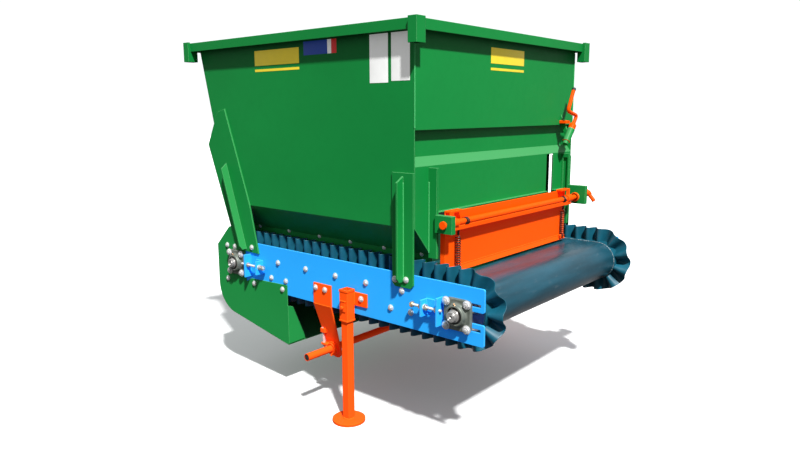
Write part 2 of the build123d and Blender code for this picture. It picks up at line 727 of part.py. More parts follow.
def make_guard_side():
    """Side plate on the near rail, behind the tail bearing, with its folded front web."""
    front_top = CONVEYOR_Z - GUARD_FRONT_UP
    step_run, step_fall, whole_fall = GUARD_STEP
    before = [(-half_spacing + flange_edge, guard_top[1]), guard_top, guard_shoulder]
    after = [
        (guard_front_x, guard_front_z),
        (guard_front_x, front_top),
        (-half_spacing + step_run, front_top - step_fall),
        (-half_spacing + flange_edge, front_top - whole_fall),
    ]
    y0 = -RAIL_OUTER_Y - GUARD_T
    side = Solid.extrude(outline_face(y0, before, after), Vector(0, GUARD_T, 0))
    side -= rod_y(SHAFT_R + GUARD_HOLE, y0 - 1, y0 + GUARD_T + 1, -half_spacing, CONVEYOR_Z)
    side -= plate_xz(REAR_PLATE, y0 - 1, -RAIL_OUTER_Y + 1)
    web = plate_yz([(y0 + inwards, guard_front_z + up) for inwards, up in GUARD_WEB],
                   guard_front_x, guard_front_x + GUARD_T)
    return side + web


def make_guard_wrapper():
    """Bent sheet between the guard's sides, open above and in front."""
    half = RAIL_OUTER_Y
    _, _, end, centre = guard_arc()
    far_above = CONVEYOR_Z + 2 * guard_r
    outer = outline_face(-half, [guard_top, guard_shoulder],
                         [(guard_front_x, guard_front_z), (guard_front_x, far_above)])
    solid = Solid.extrude(outer, Vector(0, 2 * half, 0))
    inner_r = guard_r - GUARD_T
    slope = math.atan(GUARD_DROP)
    inner_end = (end[0] + GUARD_T * math.sin(slope), end[1] + GUARD_T * math.cos(slope))
    floor_rise = GUARD_T / math.cos(slope)
    cut = plate_xz([
        (guard_back_x + GUARD_T, centre[1]),
        (guard_back_x + GUARD_T, on_chamfer(inner_r, inner_r)),
        (guard_top[0], on_chamfer(GUARD_CORNER, inner_r)),
        (guard_top[0], far_above + 1),
        (0, far_above + 1),
        (0, guard_floor_z(0) + floor_rise),
        inner_end,
        centre,
    ], -half - 1, half + 1)
    cut += rod_y(GUARD_R - GUARD_T, -half - 1, half + 1, *centre)
    return solid - cut


# ---- discharge gate -------------------------------------------------------
def make_uprights():
    """Guide bars at both ends of the discharge opening, grooved on their inner side."""
    z0 = sidewall_top + UPRIGHT_CLEAR
    middle = FRONT_X + UPRIGHT_OUT / 2
    bar = block(FRONT_X, FRONT_X + UPRIGHT_OUT, -upright_y, -upright_in, z0, UPRIGHT_TOP_Z)
    groove = block(middle - GROOVE_W / 2, middle + GROOVE_W / 2, -upright_in - GROOVE_T, -upright_in + 1,
                   PANEL_BOTTOM_Z, UPRIGHT_TOP_Z - GROOVE_DOWN)
    return both(bar - groove)


def make_gate_brackets():
    """Near bracket, and the larger far one with the pin's bush."""
    half = BRACKET / 2
    brackets = []
    for y0, (more_out, more_up) in ((-upright_in - BRACKET_T, (0, 0)), (upright_in, FAR_BRACKET_MORE)):
        brackets.append(block(FRONT_X + UPRIGHT_OUT, GATE_AXIS_X + half + more_out, y0, y0 + BRACKET_T,
                              GATE_AXIS_Z - half, GATE_AXIS_Z + half + more_up))
    bush_r, bush_len = FAR_BUSH
    brackets[1] += rod_y(bush_r, upright_in - bush_len, upright_in, GATE_AXIS_X, GATE_AXIS_Z)
    bore_end = upright_in + BRACKET_T + 1
    bore = rod_y(GATE_PIN_R + PIN_FIT, -bore_end, bore_end, GATE_AXIS_X, GATE_AXIS_Z)
    return [bracket - bore for bracket in brackets]


def make_gate_end(bar_end):
    """Pieces at the near end of the flap: flange, collar and hinge arm."""
    top = GATE_AXIS_Z + GATE_UP
    back = GATE_X - GATE_FLANGE
    flange = plate_xz([
        (GATE_X, gate_bottom + GATE_KICK[1]),
        (back, gate_bottom + GATE_KICK[1]),
        (back, GATE_AXIS_Z - LEDGE_DROP),
        (GATE_X - GATE_T, top - GATE_FLANGE),
        (GATE_X, top - GATE_FLANGE),
    ], -gate_half, -gate_half + GATE_T)
    collar = rod_y(COLLAR_R, -bar_end, -bar_end + COLLAR_LEN, GATE_AXIS_X, GATE_AXIS_Z)
    arm = block(GATE_X - GATE_T, GATE_AXIS_X, -gate_half, -gate_half + ARM_LEN, top, top + ARM_T)
    arm += block(GATE_AXIS_X - ARM_T, GATE_AXIS_X, -gate_half, -gate_half + COLLAR_LEN / 2,
                 GATE_AXIS_Z, top + ARM_T)
    return flange + collar + arm


def make_gate():
    """Hinged flap: bar and pins, sheet with its kicked edge, angle, arms and flanges."""
    bar_end = upright_in - COLLAR_GAP
    disc_r, disc_t = END_DISC
    pin_end = upright_in + BRACKET_T + COLLAR_GAP + disc_t
    far_half = gate_half - GATE_FAR_IN
    gate = rod_y(GATE_BAR_R, -bar_end, bar_end - GATE_FAR_IN, GATE_AXIS_X, GATE_AXIS_Z)
    gate += rod_y(GATE_PIN_R, -pin_end, pin_end, GATE_AXIS_X, GATE_AXIS_Z)
    kick_run, kick_height = GATE_KICK
    sheet = [
        (GATE_X + kick_run, gate_bottom),
        (GATE_X, gate_bottom + kick_height),
        (GATE_X, GATE_AXIS_Z + GATE_UP),
    ]
    gate += plate_xz(offset_path(sheet, GATE_T), -gate_half, far_half)
    ledge_z = GATE_AXIS_Z - LEDGE_DROP
    leg_x = GATE_X + LEDGE_OUT
    gate += block(GATE_X, leg_x, -gate_half, far_half, ledge_z + LEDGE_LEG - GATE_T, ledge_z + LEDGE_LEG)
    gate += block(leg_x - GATE_T, leg_x, -gate_half, far_half, ledge_z, ledge_z + LEDGE_LEG)
    near_end, far_end = both(make_gate_end(bar_end))
    gate += near_end + far_end.moved(Location((0, -GATE_FAR_IN, 0)))
    for disc in both(rod_y(disc_r, -pin_end, disc_t - pin_end, GATE_AXIS_X, GATE_AXIS_Z)):
        gate += disc
    return gate


def make_gate_springs():
    """Closed envelopes of the two tension springs, with their eyes."""
    x = GATE_X + GATE_SPRING_R + SEAT
    z0 = gate_bottom + GATE_KICK[1] / 2
    z1 = GATE_AXIS_Z - GATE_SPRING_TOP
    eye_len, wire_r = GATE_SPRING_EYE
    springs = []
    for y in (-gate_half + GATE_SPRING_IN, gate_half - GATE_FAR_IN - GATE_FAR_SPRING_IN):
        springs.append(rod_z(GATE_SPRING_R, z0 + eye_len, z1, x, y) + rod_z(wire_r, z0, z1 + eye_len, x, y))
    return springs


def make_gate_lock():
    """Locking screw with its cross handle on the far bracket."""
    x = GATE_AXIS_X + LOCK_AT[0]
    z = GATE_AXIS_Z + LOCK_AT[1]
    stub_r, stub_len = LOCK_STUB
    y0 = upright_in + BRACKET_T
    y1 = y0 + stub_len
    start, end = [(x + run, y1, z + up) for run, up in LOCK_HANDLE]
    return rod_y(stub_r, y0, y1, x, z) + rod_between(start, end, LOCK_HANDLE_R)


# ---- crank ----------------------------------------------------------------
def from_corner(point):
    """Place of a point given as x, distance in from the far side wall, z."""
    x, inwards, z = point
    return Vector(x, hopper_half - inwards, z)


crank_foot, crank_hub = from_corner(CRANK_FOOT), from_corner(CRANK_HUB)
crank_axis = (crank_hub - crank_foot).normalized()


def make_crank_sleeve():
    """Raking sleeve with its lug on the end wall."""
    sleeve_x = crank_hub.X - SLEEVE_R
    low, high = SLEEVE_LUG_ROOT
    top, shoulder, foot = SLEEVE_LUG_TIP
    middle = crank_foot + (crank_hub - crank_foot) * 0.75
    lug = plate_xz([
        (FRONT_X, STEP_Z + low),
        (FRONT_X, STEP_Z + high),
        (sleeve_x - 6, crank_hub.Z + top),
        (sleeve_x + 6, crank_hub.Z + shoulder),
        (sleeve_x + 6, crank_hub.Z + foot),
        (sleeve_x - 6, crank_hub.Z + foot),
    ], middle.Y - SLEEVE_LUG_T / 2, middle.Y + SLEEVE_LUG_T / 2)
    return rod_between(crank_foot, crank_hub, SLEEVE_R) + lug


def make_crank():
    """Cranked bar with its grip; it turns by hand and is drawn at rest."""
    hub_top = crank_hub + crank_axis * HUB_LEN
    points = [hub_top] + [from_corner(point) for point in (CRANK_BEND, CRANK_ELBOW, CRANK_GRIP)]
    crank = rod_between(crank_hub, hub_top, HUB_R)
    for start, end in zip(points, points[1:]):
        crank += rod_between(start, end, CRANK_R)
        crank += Pos(*end) * Sphere(CRANK_R)
    return crank


# ---- parking legs and cross tube -----------------------------------------
socket_hole = LEG_W + 2 * SOCKET_CLEAR


def square_tube(x, y, z0, z1, outer, inner):
    tube = block(x - outer / 2, x + outer / 2, y - outer / 2, y + outer / 2, z0, z1)
    return tube - block(x - inner / 2, x + inner / 2, y - inner / 2, y + inner / 2, z0 - 1, z1 + 1)


def make_near_socket():
    z1 = CONVEYOR_Z + SOCKET_UP
    socket = square_tube(LEG_X, near_leg_y, z1 - SOCKET_H, z1, SOCKET_W, socket_hole)
    y1 = -RAIL_OUTER_Y
    lug_top = z1 - 2 * LUG_T
    return socket + block(LEG_X - SOCKET_W / 2, LEG_X + LUG_OUT, y1 - LUG_T, y1, lug_top - LUG_H, lug_top)


def make_leg(x, y, top_z):
    """Square tube on a round foot."""
    foot_top = FOOT_Z + FOOT_T
    leg = square_tube(x, y, foot_top, top_z, LEG_W, LEG_W - 2 * LEG_WALL)
    return leg + rod_z(FOOT_R, FOOT_Z, foot_top, x, y)


def make_hangers():
    """Plates from the rails down and inwards to the cross tube."""
    y0 = -RAIL_OUTER_Y - HANGER_T
    half = HANGER_W / 2
    knee_z = rail_bottom - HANGER_KNEE
    hanger = block(HANGER_X - half, HANGER_X + half, y0, -RAIL_OUTER_Y, knee_z, CONVEYOR_Z - HANGER_UP)
    drop = knee_z - TUBE_Z
    inward = RAIL_OUTER_Y + HANGER_T / 2 - tube_y
    length = math.hypot(drop, inward)
    lean = math.degrees(math.atan2(inward, drop))
    foot = HANGER_FOOT_W / 2
    lower = plate_xz([
        (-half, 0.75 * HANGER_T),
        (half, 0.75 * HANGER_T),
        (foot, -length - FOOT_DROP),
        (-foot, -length - FOOT_DROP),
    ], -HANGER_T / 2, HANGER_T / 2)
    lower += rod_y(foot, -HANGER_T / 2, HANGER_T / 2, 0, -length - FOOT_DROP)
    hanger += Pos(HANGER_X, y0 + HANGER_T / 2, knee_z) * Rot(lean, 0, 0) * lower
    hanger -= rod_y(TUBE_R + PIN_FIT, -tube_end, 0, HANGER_X, TUBE_Z)
    return both(hanger)


def make_cross_tube():
    """Tube through both hangers, with a stop ring outside each."""
    tube = rod_y(TUBE_R, -tube_end, tube_end, HANGER_X, TUBE_Z)
    ring_y = -tube_y - 2 * HANGER_T
    ring = rod_y(TUBE_R + RING_OUT, ring_y - 10, ring_y, HANGER_X, TUBE_Z)
    for one in both(ring):
        tube += one
    return tube - rod_y(TUBE_R - TUBE_WALL, -tube_end - 1, tube_end + 1, HANGER_X, TUBE_Z)


# ---- three-point headstock ------------------------------------------------
def make_hitch_frame():
    """Cross beam, two posts on the far rail and the mast."""
    y0 = beam_y - BEAM / 2
    y1 = beam_y + BEAM / 2
    z0 = BEAM_Z - BEAM / 2
    z1 = BEAM_Z + BEAM / 2
    frame = block(FAR_LEG_X[1] + SOCKET_W / 2, HITCH_X + pin_half + BEAM_END, y0, y1, z0, z1)
    half = POST_W / 2
    mast = (  # distance from the middle, z
        (POST_AT - half, z1 - 1),
        (POST_AT + half, z1 - 1),
        (CLEVIS_GAP / 2 + CLEVIS_T, mast_z + MAST_HEAD),
        (CLEVIS_GAP / 2, mast_z + MAST_HEAD),
        (CLEVIS_GAP / 2, mast_z - 2 * MAST_HEAD),
    )
    mast_y = beam_y - MAST_T / 2
    for side in (-1, 1):
        x = HITCH_X + side * POST_AT
        frame += block(x - half, x + half, RAIL_OUTER_Y, y0, z0 + 10, rail_top - 20)
        frame += plate_xz([(HITCH_X + side * run, z) for run, z in mast], mast_y, mast_y + MAST_T)
    return frame


def make_hitch_cheeks():
    """Pairs of plates that carry the lower pins."""
    inner = beam_y + BEAM / 2 + SEAT
    under = BEAM_Z - BEAM / 2 - SEAT
    nose = 2 * HITCH_SHANK_R
    outline = [
        (beam_y - BEAM / 2, under),
        (inner, under),
        (inner, BEAM_Z + BEAM / 4),
        (hitch_y + nose, HITCH_PIN_Z + nose),
        (hitch_y + nose, HITCH_PIN_Z - nose),
        (beam_y, HITCH_PIN_Z - nose),
    ]
    cheeks = []
    for side in (-1, 1):
        for gap in (0, CHEEK_GAP):
            x = HITCH_X + side * (pin_half - gap)
            xa, xb = sorted((x, x - side * CHEEK_T))
            hole = rod_x(HITCH_SHANK_R + PIN_FIT, xa - 1, xb + 1, hitch_y, HITCH_PIN_Z)
            cheeks.append(plate_yz(outline, xa, xb) - hole)
    return cheeks


def make_lower_pins():
    """Stepped pins: the shank in the cheeks, the free end for the lower link."""
    pins = []
    for side in (-1, 1):
        shoulder = HITCH_X + side * pin_half
        xa, xb = sorted((shoulder - side * (CHEEK_GAP + 2 * CHEEK_T), shoulder))
        pin = rod_x(HITCH_SHANK_R, xa, xb, hitch_y, HITCH_PIN_Z)
        xa, xb = sorted((shoulder, shoulder + side * HITCH_PIN_LEN))
        pins.append(pin + rod_x(HITCH_PIN_R, xa, xb, hitch_y, HITCH_PIN_Z))
    return pins


def make_top_clevis():
    """Mast head: two cheeks and their pin."""
    back = beam_y + MAST_T / 2
    nose = hitch_y + 30
    outline = [(back, mast_z - 50), (nose, mast_z - 24), (nose, mast_z + 26), (back, mast_z + MAST_HEAD)]
    solids = []
    for side in (-1, 1):
        x = HITCH_X + side * CLEVIS_GAP / 2
        xa, xb = sorted((x, x + side * CLEVIS_T))
        solids.append(plate_yz(outline, xa, xb) - rod_x(TOP_PIN_R + PIN_FIT, xa - 1, xb + 1, hitch_y, mast_z))
    reach = CLEVIS_GAP / 2 + 2 * CLEVIS_T
    solids.append(rod_x(TOP_PIN_R, HITCH_X - reach, HITCH_X + reach, hitch_y, mast_z))
    return solids


def make_drive_motor():
    """Hydraulic motor on the far end of the discharge roller, with its torque arm."""
    x = half_spacing
    housing = RAIL_OUTER_Y + FLANGE_T + HOUSING_OUT
    start = housing + MOTOR_FROM
    end = start + MOTOR_LEN
    arm_y = housing + TORQUE_ARM_AT
    arm_out = arm_y + TORQUE_ARM_T
    foot_x = x - FLANGE / 2 - TORQUE_GAP
    low = CONVEYOR_Z - TORQUE_ARM_HALF
    high = CONVEYOR_Z + TORQUE_ARM_HALF
    motor = rod_y(MOTOR_R, start, end, x, CONVEYOR_Z)
    motor += block(foot_x - TORQUE_FOOT, x, arm_y, arm_out, low, high)
    motor += block(foot_x - TORQUE_FOOT, foot_x, RAIL_OUTER_Y, arm_out,
                   low + TORQUE_ARM_T, high - TORQUE_ARM_T)
    port_w, port_len, port_top = MOTOR_PORTS
    port_y = end - 1.6 * port_len
    motor += block(x - port_w / 2, x + port_w / 2, port_y, port_y + port_len, high, CONVEYOR_Z + port_top)
    return motor - rod_y(SHAFT_R + 1, housing, start + 2, x, CONVEYOR_Z)


# ---- assembly -------------------------------------------------------------
bearing_seat = {"discharge": RAIL_OUTER_Y, "tail": RAIL_OUTER_Y + GUARD_T}
near_front = make_front_support()
near_rear = make_rear_support()
near_wall = make_side_wall()
near_band = make_sidewall()
near_guard = make_guard_side()
tail_lugs = [one for solid in make_tension_lugs(*tail_tensioner) for one in both(solid)]
far_legs = list(zip(FAR_LEG_X, far_leg_y))
far_sockets = [square_tube(x, y, *FAR_SOCKET_Z, SOCKET_W, socket_hole) for x, y in far_legs]

nodes = {
    "hopper_near_wall": [near_wall],
    "hopper_far_wall": [make_far_wall()],
    "hopper_back_wall": [make_back_wall()],
    "hopper_front_panel": [make_front_upper()],
    "hopper_lower_panel": [make_front_lower()],
    "hopper_inner_wall": [make_inner_wall()],
    "hopper_rim": [make_rim()],
    "rim_corner_caps": make_corner_caps(),
    "skirt_rubbers": make_rubber_strips(),
    "near_front_support": [near_front],
    "far_front_support": [far(near_front)],
    "near_rear_support": [near_rear],
    "far_rear_support": [far(near_rear)],
    "near_rail": [make_rail(RAIL_END)],
    "far_rail": [far(make_rail(FAR_RAIL_END))],
    "belt": [make_belt()],
    "near_sidewall": [near_band],
    "far_sidewall": [far(near_band)],
    "discharge_roller": [make_roller(half_spacing)],
    "tail_roller": [make_roller(-half_spacing)],
    "discharge_bearings": both(make_bearing(half_spacing, bearing_seat["discharge"])),
    "tail_bearings": both(make_bearing(-half_spacing, bearing_seat["tail"])),
    "tensioner_lugs": tail_lugs + make_tension_lugs(*discharge_tensioner),
    "tensioner_rods": both(make_tension_rod(*tail_tensioner)) + [make_tension_rod(*discharge_tensioner)],
    "cross_members": make_cross_members(),
    "belt_bed": [make_bed()],
    "tie_bars": make_tie_bars(),
    "near_guard_side": [near_guard],
    "far_guard_side": [far(near_guard)],
    "guard_wrapper": [make_guard_wrapper()],
    "gate_uprights": make_uprights(),
    "gate_brackets": make_gate_brackets(),
    "gate_flap": [make_gate()],
    "gate_springs": make_gate_springs(),
    "gate_lock": [make_gate_lock()],
    "crank_sleeve": [make_crank_sleeve()],
    "crank": [make_crank()],
    "near_leg_socket": [make_near_socket()],
    "near_leg": [make_leg(LEG_X, near_leg_y, CONVEYOR_Z - LEG_DOWN)],
    "far_leg_sockets": far_sockets,
    "far_front_leg": [make_leg(*far_legs[0], FAR_LEG_TOP_Z)],
    "far_rear_leg": [make_leg(*far_legs[1], FAR_LEG_TOP_Z)],
    "hangers": make_hangers(),
    "cross_tube": [make_cross_tube()],
    "hitch_frame": [make_hitch_frame()],
    "hitch_cheeks": make_hitch_cheeks(),
    "lower_hitch_pins": make_lower_pins(),
    "top_link_clevis": make_top_clevis(),
    "drive_motor": [make_drive_motor()],
}

everything = Compound([solid for group in nodes.values() for solid in group])
bounds = everything.bounding_box()
origin = Vector((bounds.min.X + bounds.max.X) / 2, (bounds.min.Y + bounds.max.Y) / 2, bounds.min.Z)
print("origin", origin)

os.makedirs("parts", exist_ok=True)
for name, group in nodes.items():
    moved = [Pos(-origin.X, -origin.Y, -origin.Z) * solid for solid in group]
    shape = moved[0] if len(moved) == 1 else Compound(moved)
    export_step(shape, f"parts/{name}.step")
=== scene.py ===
"""Finishes and detail pieces for a tractor-carried manure spreader with a cross conveyor."""

import math

import bpy
import numpy as np
from bpy.props import FloatProperty, FloatVectorProperty, IntProperty, PointerProperty
from mathutils import Matrix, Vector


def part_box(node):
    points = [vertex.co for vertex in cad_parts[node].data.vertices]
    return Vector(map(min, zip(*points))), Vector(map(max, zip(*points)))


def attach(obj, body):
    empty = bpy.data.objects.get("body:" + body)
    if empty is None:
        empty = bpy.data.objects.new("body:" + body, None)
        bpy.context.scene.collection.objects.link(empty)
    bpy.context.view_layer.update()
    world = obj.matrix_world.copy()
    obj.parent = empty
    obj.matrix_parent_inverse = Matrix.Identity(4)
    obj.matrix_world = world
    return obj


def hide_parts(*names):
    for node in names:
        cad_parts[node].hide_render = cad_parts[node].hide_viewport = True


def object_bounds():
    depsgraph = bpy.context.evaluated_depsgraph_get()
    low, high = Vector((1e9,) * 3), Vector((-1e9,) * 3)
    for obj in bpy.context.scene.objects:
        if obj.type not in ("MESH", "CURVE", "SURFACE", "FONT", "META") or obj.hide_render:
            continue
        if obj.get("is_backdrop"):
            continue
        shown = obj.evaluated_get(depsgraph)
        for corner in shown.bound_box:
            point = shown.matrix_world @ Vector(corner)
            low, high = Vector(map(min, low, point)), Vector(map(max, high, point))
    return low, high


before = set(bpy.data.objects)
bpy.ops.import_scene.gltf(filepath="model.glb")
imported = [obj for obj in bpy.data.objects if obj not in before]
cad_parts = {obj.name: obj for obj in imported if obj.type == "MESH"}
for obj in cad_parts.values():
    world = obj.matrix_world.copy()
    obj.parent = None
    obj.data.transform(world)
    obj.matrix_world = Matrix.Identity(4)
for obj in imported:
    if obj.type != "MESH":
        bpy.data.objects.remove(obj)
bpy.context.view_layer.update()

bl_info = {
    "name": "Manure spreader finish",
    "version": (1, 0, 0),
    "blender": (4, 5, 0),
    "location": "3D View > Sidebar > Spreader",
    "description": "Finishes and detail pieces for a cross-conveyor manure spreader",
    "category": "Object",
}

MACHINE = "spreader"
GATE = "gate"
NEAR_LEG = "near_leg_slide"
MM = 0.001
NEAR = (0, -1, 0)       # out of the near side
INWARDS = (0, 1, 0)     # from the near side towards the tractor

# ---- places ---------------------------------------------------------------
discharge_low, discharge_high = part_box("discharge_roller")
tail_low, tail_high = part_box("tail_roller")
belt_low, belt_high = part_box("belt")
band_low, band_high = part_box("near_sidewall")

AXIS_HEIGHT = 640.0
discharge_x = (discharge_low.x + discharge_high.x) / 2
tail_x = (tail_low.x + tail_high.x) / 2
axis_z = (discharge_low.z + discharge_high.z) / 2
belt_y = (belt_low.y + belt_high.y) / 2
middle = np.array([(discharge_x + tail_x) / 2, belt_y, axis_z - AXIS_HEIGHT * MM])
half_spacing = (discharge_x - tail_x) / 2 / MM
belt_radius = (belt_high.z - belt_low.z) / 2 / MM
band_radius = (band_high.z - band_low.z) / 2 / MM
band_out = -(band_low.y - middle[1]) / MM
band_in = -(band_high.y - middle[1]) / MM


def at(points):
    """Frame metres of points drawn in mm: x from half way between the rollers,
    y from the middle and z from the datum AXIS_HEIGHT under the roller axes."""
    return np.asarray(points, float) * MM + middle


# ---- shapes ---------------------------------------------------------------
class Shape:
    """Points in mm and faces that are placed, copied and joined before they become a mesh."""

    def __init__(self, points, faces):
        self.points = np.asarray(points, float).reshape(-1, 3)
        self.faces = [np.asarray(group, int) for group in faces if len(group)]

    def __add__(self, other):
        shift = len(self.points)
        faces = self.faces + [group + shift for group in other.faces]
        return Shape(np.vstack((self.points, other.points)), faces)

    def moved(self, offset):
        """The shape shifted by an offset."""
        return Shape(self.points + np.asarray(offset, float), self.faces)

    def across(self):
        """The same shape on the tractor side: y changes sign and the faces turn round."""
        return Shape(self.points * (1, -1, 1), [group[:, ::-1] for group in self.faces])

    def both(self):
        """The shape and its mirror image on the tractor side."""
        return self + self.across()

    def placed(self, places, outward, turn=0.0):
        """One copy at each place, its own z along outward and turned about that axis."""
        places = np.asarray(places, float).reshape(-1, 3)
        outward = np.broadcast_to(np.asarray(outward, float), places.shape)
        axis = outward / np.linalg.norm(outward, axis=1, keepdims=True)
        upright = np.abs(axis[:, 2:]) < 0.9
        side = np.cross(np.where(upright, (0.0, 0.0, 1.0), (1.0, 0.0, 0.0)), axis)
        side /= np.linalg.norm(side, axis=1, keepdims=True)
        third = np.cross(axis, side)
        turn = np.broadcast_to(np.asarray(turn, float), len(places))[:, None]
        first = side * np.cos(turn) + third * np.sin(turn)
        second = np.cross(axis, first)
        turned = np.stack((first, second, axis), axis=2)
        points = np.einsum("kij,nj->kni", turned, self.points) + places[:, None, :]
        steps = np.arange(len(places))[:, None, None] * len(self.points)
        faces = [(group[None] + steps).reshape(-1, group.shape[1]) for group in self.faces]
        return Shape(points, faces)


def joined(shapes):
    """One shape made of several."""
    total = shapes[0]
    for shape in shapes[1:]:
        total = total + shape
    return total


def skin(points, ring=True, loop=False, caps=True):
    """Quads over a grid of points. Rows follow the path and columns go round it, so a face
    looks along the column step crossed with the row step; flat caps close both ends."""
    rows, columns = points.shape[:2]
    index = np.arange(rows * columns).reshape(rows, columns)
    if loop:
        index = np.vstack((index, index[:1]))
    if ring:
        index = np.hstack((index, index[:, :1]))
    quads = np.stack((index[:-1, :-1], index[:-1, 1:], index[1:, 1:], index[1:, :-1]), axis=-1)
    faces = [quads.reshape(-1, 4)]
    if caps and ring and not loop:
        faces.append(index[:1, -2::-1])
        faces.append(index[-1:, :-1])
    return Shape(points, faces)


def turned(profile, sides=32, outline=None):
    """A turned piece about z: each row of the profile is a radius and a height, and a point is
    (radius cos a, radius sin a, height). An outline limits the radius at each angle."""
    profile = np.asarray(profile, float)
    angle = np.linspace(0, 2 * np.pi, sides, endpoint=False)
    radius = np.repeat(profile[:, :1], sides, axis=1)
    if outline is not None:
        radius = np.minimum(radius, outline(angle)[None, :])
    height = np.repeat(profile[:, 1:2], sides, axis=1)
    return skin(np.stack((radius * np.cos(angle), radius * np.sin(angle), height), axis=-1))


def hexagon(flats):
    """Radius of a hexagon at each angle: half the width across flats divided by the cosine of
    the angle from the nearest flat."""
    return lambda angle: flats / 2 / np.cos((angle + np.pi / 6) % (np.pi / 3) - np.pi / 6)


def washer(inner, outer, height, sides=24):
    """A flat ring: its closed section is carried round z."""
    section = np.array([(inner, 0), (outer, 0), (outer, height), (inner, height)], float)
    angle = np.linspace(0, 2 * np.pi, sides, endpoint=False)[:, None]
    points = np.stack((section[:, 0] * np.cos(angle), section[:, 0] * np.sin(angle),
                       section[:, 1] + 0 * angle), axis=-1)
    return skin(points[:, ::-1], loop=True)


def carried(path, section, up=(0.0, 0.0, 1.0), scale=1.0, loop=False):
    """A section carried along a path: each section point (u, v) stands at
    path + scale (u side + v top). Top is up less its part along the path, side is top crossed
    with the path's direction, and both have length one."""
    path = np.asarray(path, float)
    if loop:
        along = np.roll(path, -1, axis=0) - np.roll(path, 1, axis=0)
    else:
        along = np.gradient(path, axis=0)
    along /= np.linalg.norm(along, axis=1, keepdims=True)
    up = np.broadcast_to(np.asarray(up, float), path.shape)
    top = up - along * np.sum(up * along, axis=1, keepdims=True)
    top /= np.linalg.norm(top, axis=1, keepdims=True)
    side = np.cross(top, along)
    scale = np.broadcast_to(np.asarray(scale, float), len(path))[:, None, None]
    section = np.asarray(section, float)
    across = section[:, :1] * side[:, None] + section[:, 1:] * top[:, None]
    points = path[:, None] + scale * across
    return skin(points, loop=loop)


def circle(radius, sides=12):
    """Points (radius cos a, radius sin a) at even angles."""
    angle = np.linspace(0, 2 * np.pi, sides, endpoint=False)
    return radius * np.stack((np.cos(angle), np.sin(angle)), axis=1)


def rod(start, end, radius, sides=16):
    """A round bar: a circle carried along a straight line, with up on its least steep axis."""
    path = np.linspace(start, end, 2)
    lean = np.abs(path[1] - path[0])
    return carried(path, circle(radius, sides), up=np.eye(3)[int(np.argmin(lean))])


def bend(points, steps=10, reach=12.0):
    """A bar's centreline through corners: at each corner the path is the blend
    (1-t)^2 a + 2t(1-t) b + t^2 c of the points reach mm before it, at it and after it."""
    points = np.asarray(points, float)
    t = np.linspace(0, 1, steps)[:, None]
    path = [points[:1]]
    for before, corner, after in zip(points, points[1:], points[2:]):
        a = corner + (before - corner) / np.linalg.norm(before - corner) * reach
        c = corner + (after - corner) / np.linalg.norm(after - corner) * reach
        path.append((1 - t) ** 2 * a + 2 * t * (1 - t) * corner + t ** 2 * c)
    return np.vstack(path + [points[-1:]])


def slab(low, high, edge=1.0):
    """A plate with softened edges between two corners: four rings at rising heights, each a
    rectangle whose corners are quarter circles of twice the edge less the ring's inset."""
    low, high = np.asarray(low, float), np.asarray(high, float)
    size = (high - low) / 2
    angle = np.linspace(0, 2 * np.pi, 32, endpoint=False) + np.pi / 32
    turn = np.stack((np.cos(angle), np.sin(angle)), axis=1)
    sign = np.sign(turn)
    rings = []
    for inset, height in ((edge, 0), (0, edge), (0, 2 * size[2] - edge), (edge, 2 * size[2])):
        corner = sign * (size[:2] - 2 * edge)
        ring = corner + turn * (2 * edge - inset)
        rings.append(np.column_stack((ring, np.full(len(ring), height - size[2]))))
    return skin(np.array(rings)).moved((low + high) / 2)


def weld(start, end, radius=3.5, pitch=6.0):
    """A weld bead: a round section whose radius swells at each ripple, as 1 + 0.16 |sin|."""
    start, end = np.asarray(start, float), np.asarray(end, float)
    length = np.linalg.norm(end - start)
    count = max(4, int(length / pitch * 4))
    t = np.linspace(0, 1, count)
    swell = 1 + 0.16 * np.abs(np.sin(np.pi * t * length / pitch))
    swell *= np.clip(np.minimum(t, 1 - t) * length / radius * 0.7 + 0.3, 0, 1)
    path = start + (end - start) * t[:, None]
    lean = np.abs(end - start)
    return carried(path, circle(radius, 8), up=np.eye(3)[int(np.argmin(lean))], scale=swell)


def ring_weld(centre, axis, radius, thick=3.0, pitch=6.0):
    """A weld bead round a tube: the ripples run along a circle about the axis."""
    count = max(24, int(2 * np.pi * radius / pitch) * 4)
    angle = np.linspace(0, 2 * np.pi, count, endpoint=False)
    swell = 1 + 0.16 * np.abs(np.sin(np.round(radius * 2 * np.pi / pitch) * angle / 2))
    path = np.stack((radius * np.cos(angle), radius * np.sin(angle), 0 * angle), axis=1)
    ring = carried(path, circle(thick, 8), up=(0, 0, 1), scale=swell, loop=True)
    return ring.placed([centre], axis)


def make_piece(name, shape, finish, body=MACHINE, sharp=35.0):
    """Turns a shape into an object that rides on a body, with its place in its mesh. Edges
    turn sharp past an angle in degrees."""
    mesh = bpy.data.meshes.new(name)
    points = at(shape.points)
    corners = np.concatenate([group.ravel() for group in shape.faces])
    sizes = np.concatenate([np.full(len(group), group.shape[1]) for group in shape.faces])
    mesh.vertices.add(len(points))
    mesh.vertices.foreach_set("co", points.astype(np.float32).ravel())
    mesh.loops.add(len(corners))
    mesh.loops.foreach_set("vertex_index", corners.astype(np.int32))
    mesh.polygons.add(len(sizes))
    mesh.polygons.foreach_set("loop_start", (np.cumsum(sizes) - sizes).astype(np.int32))
    mesh.update(calc_edges=True)
    mesh.validate()
    mesh.polygons.foreach_set("use_smooth", np.ones(len(sizes), bool))
    mesh.set_sharp_from_angle(angle=math.radians(sharp))
    mesh.materials.append(finish)
    piece = bpy.data.objects.new(name, mesh)
    bpy.context.scene.collection.objects.link(piece)
    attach(piece, body)
    return piece


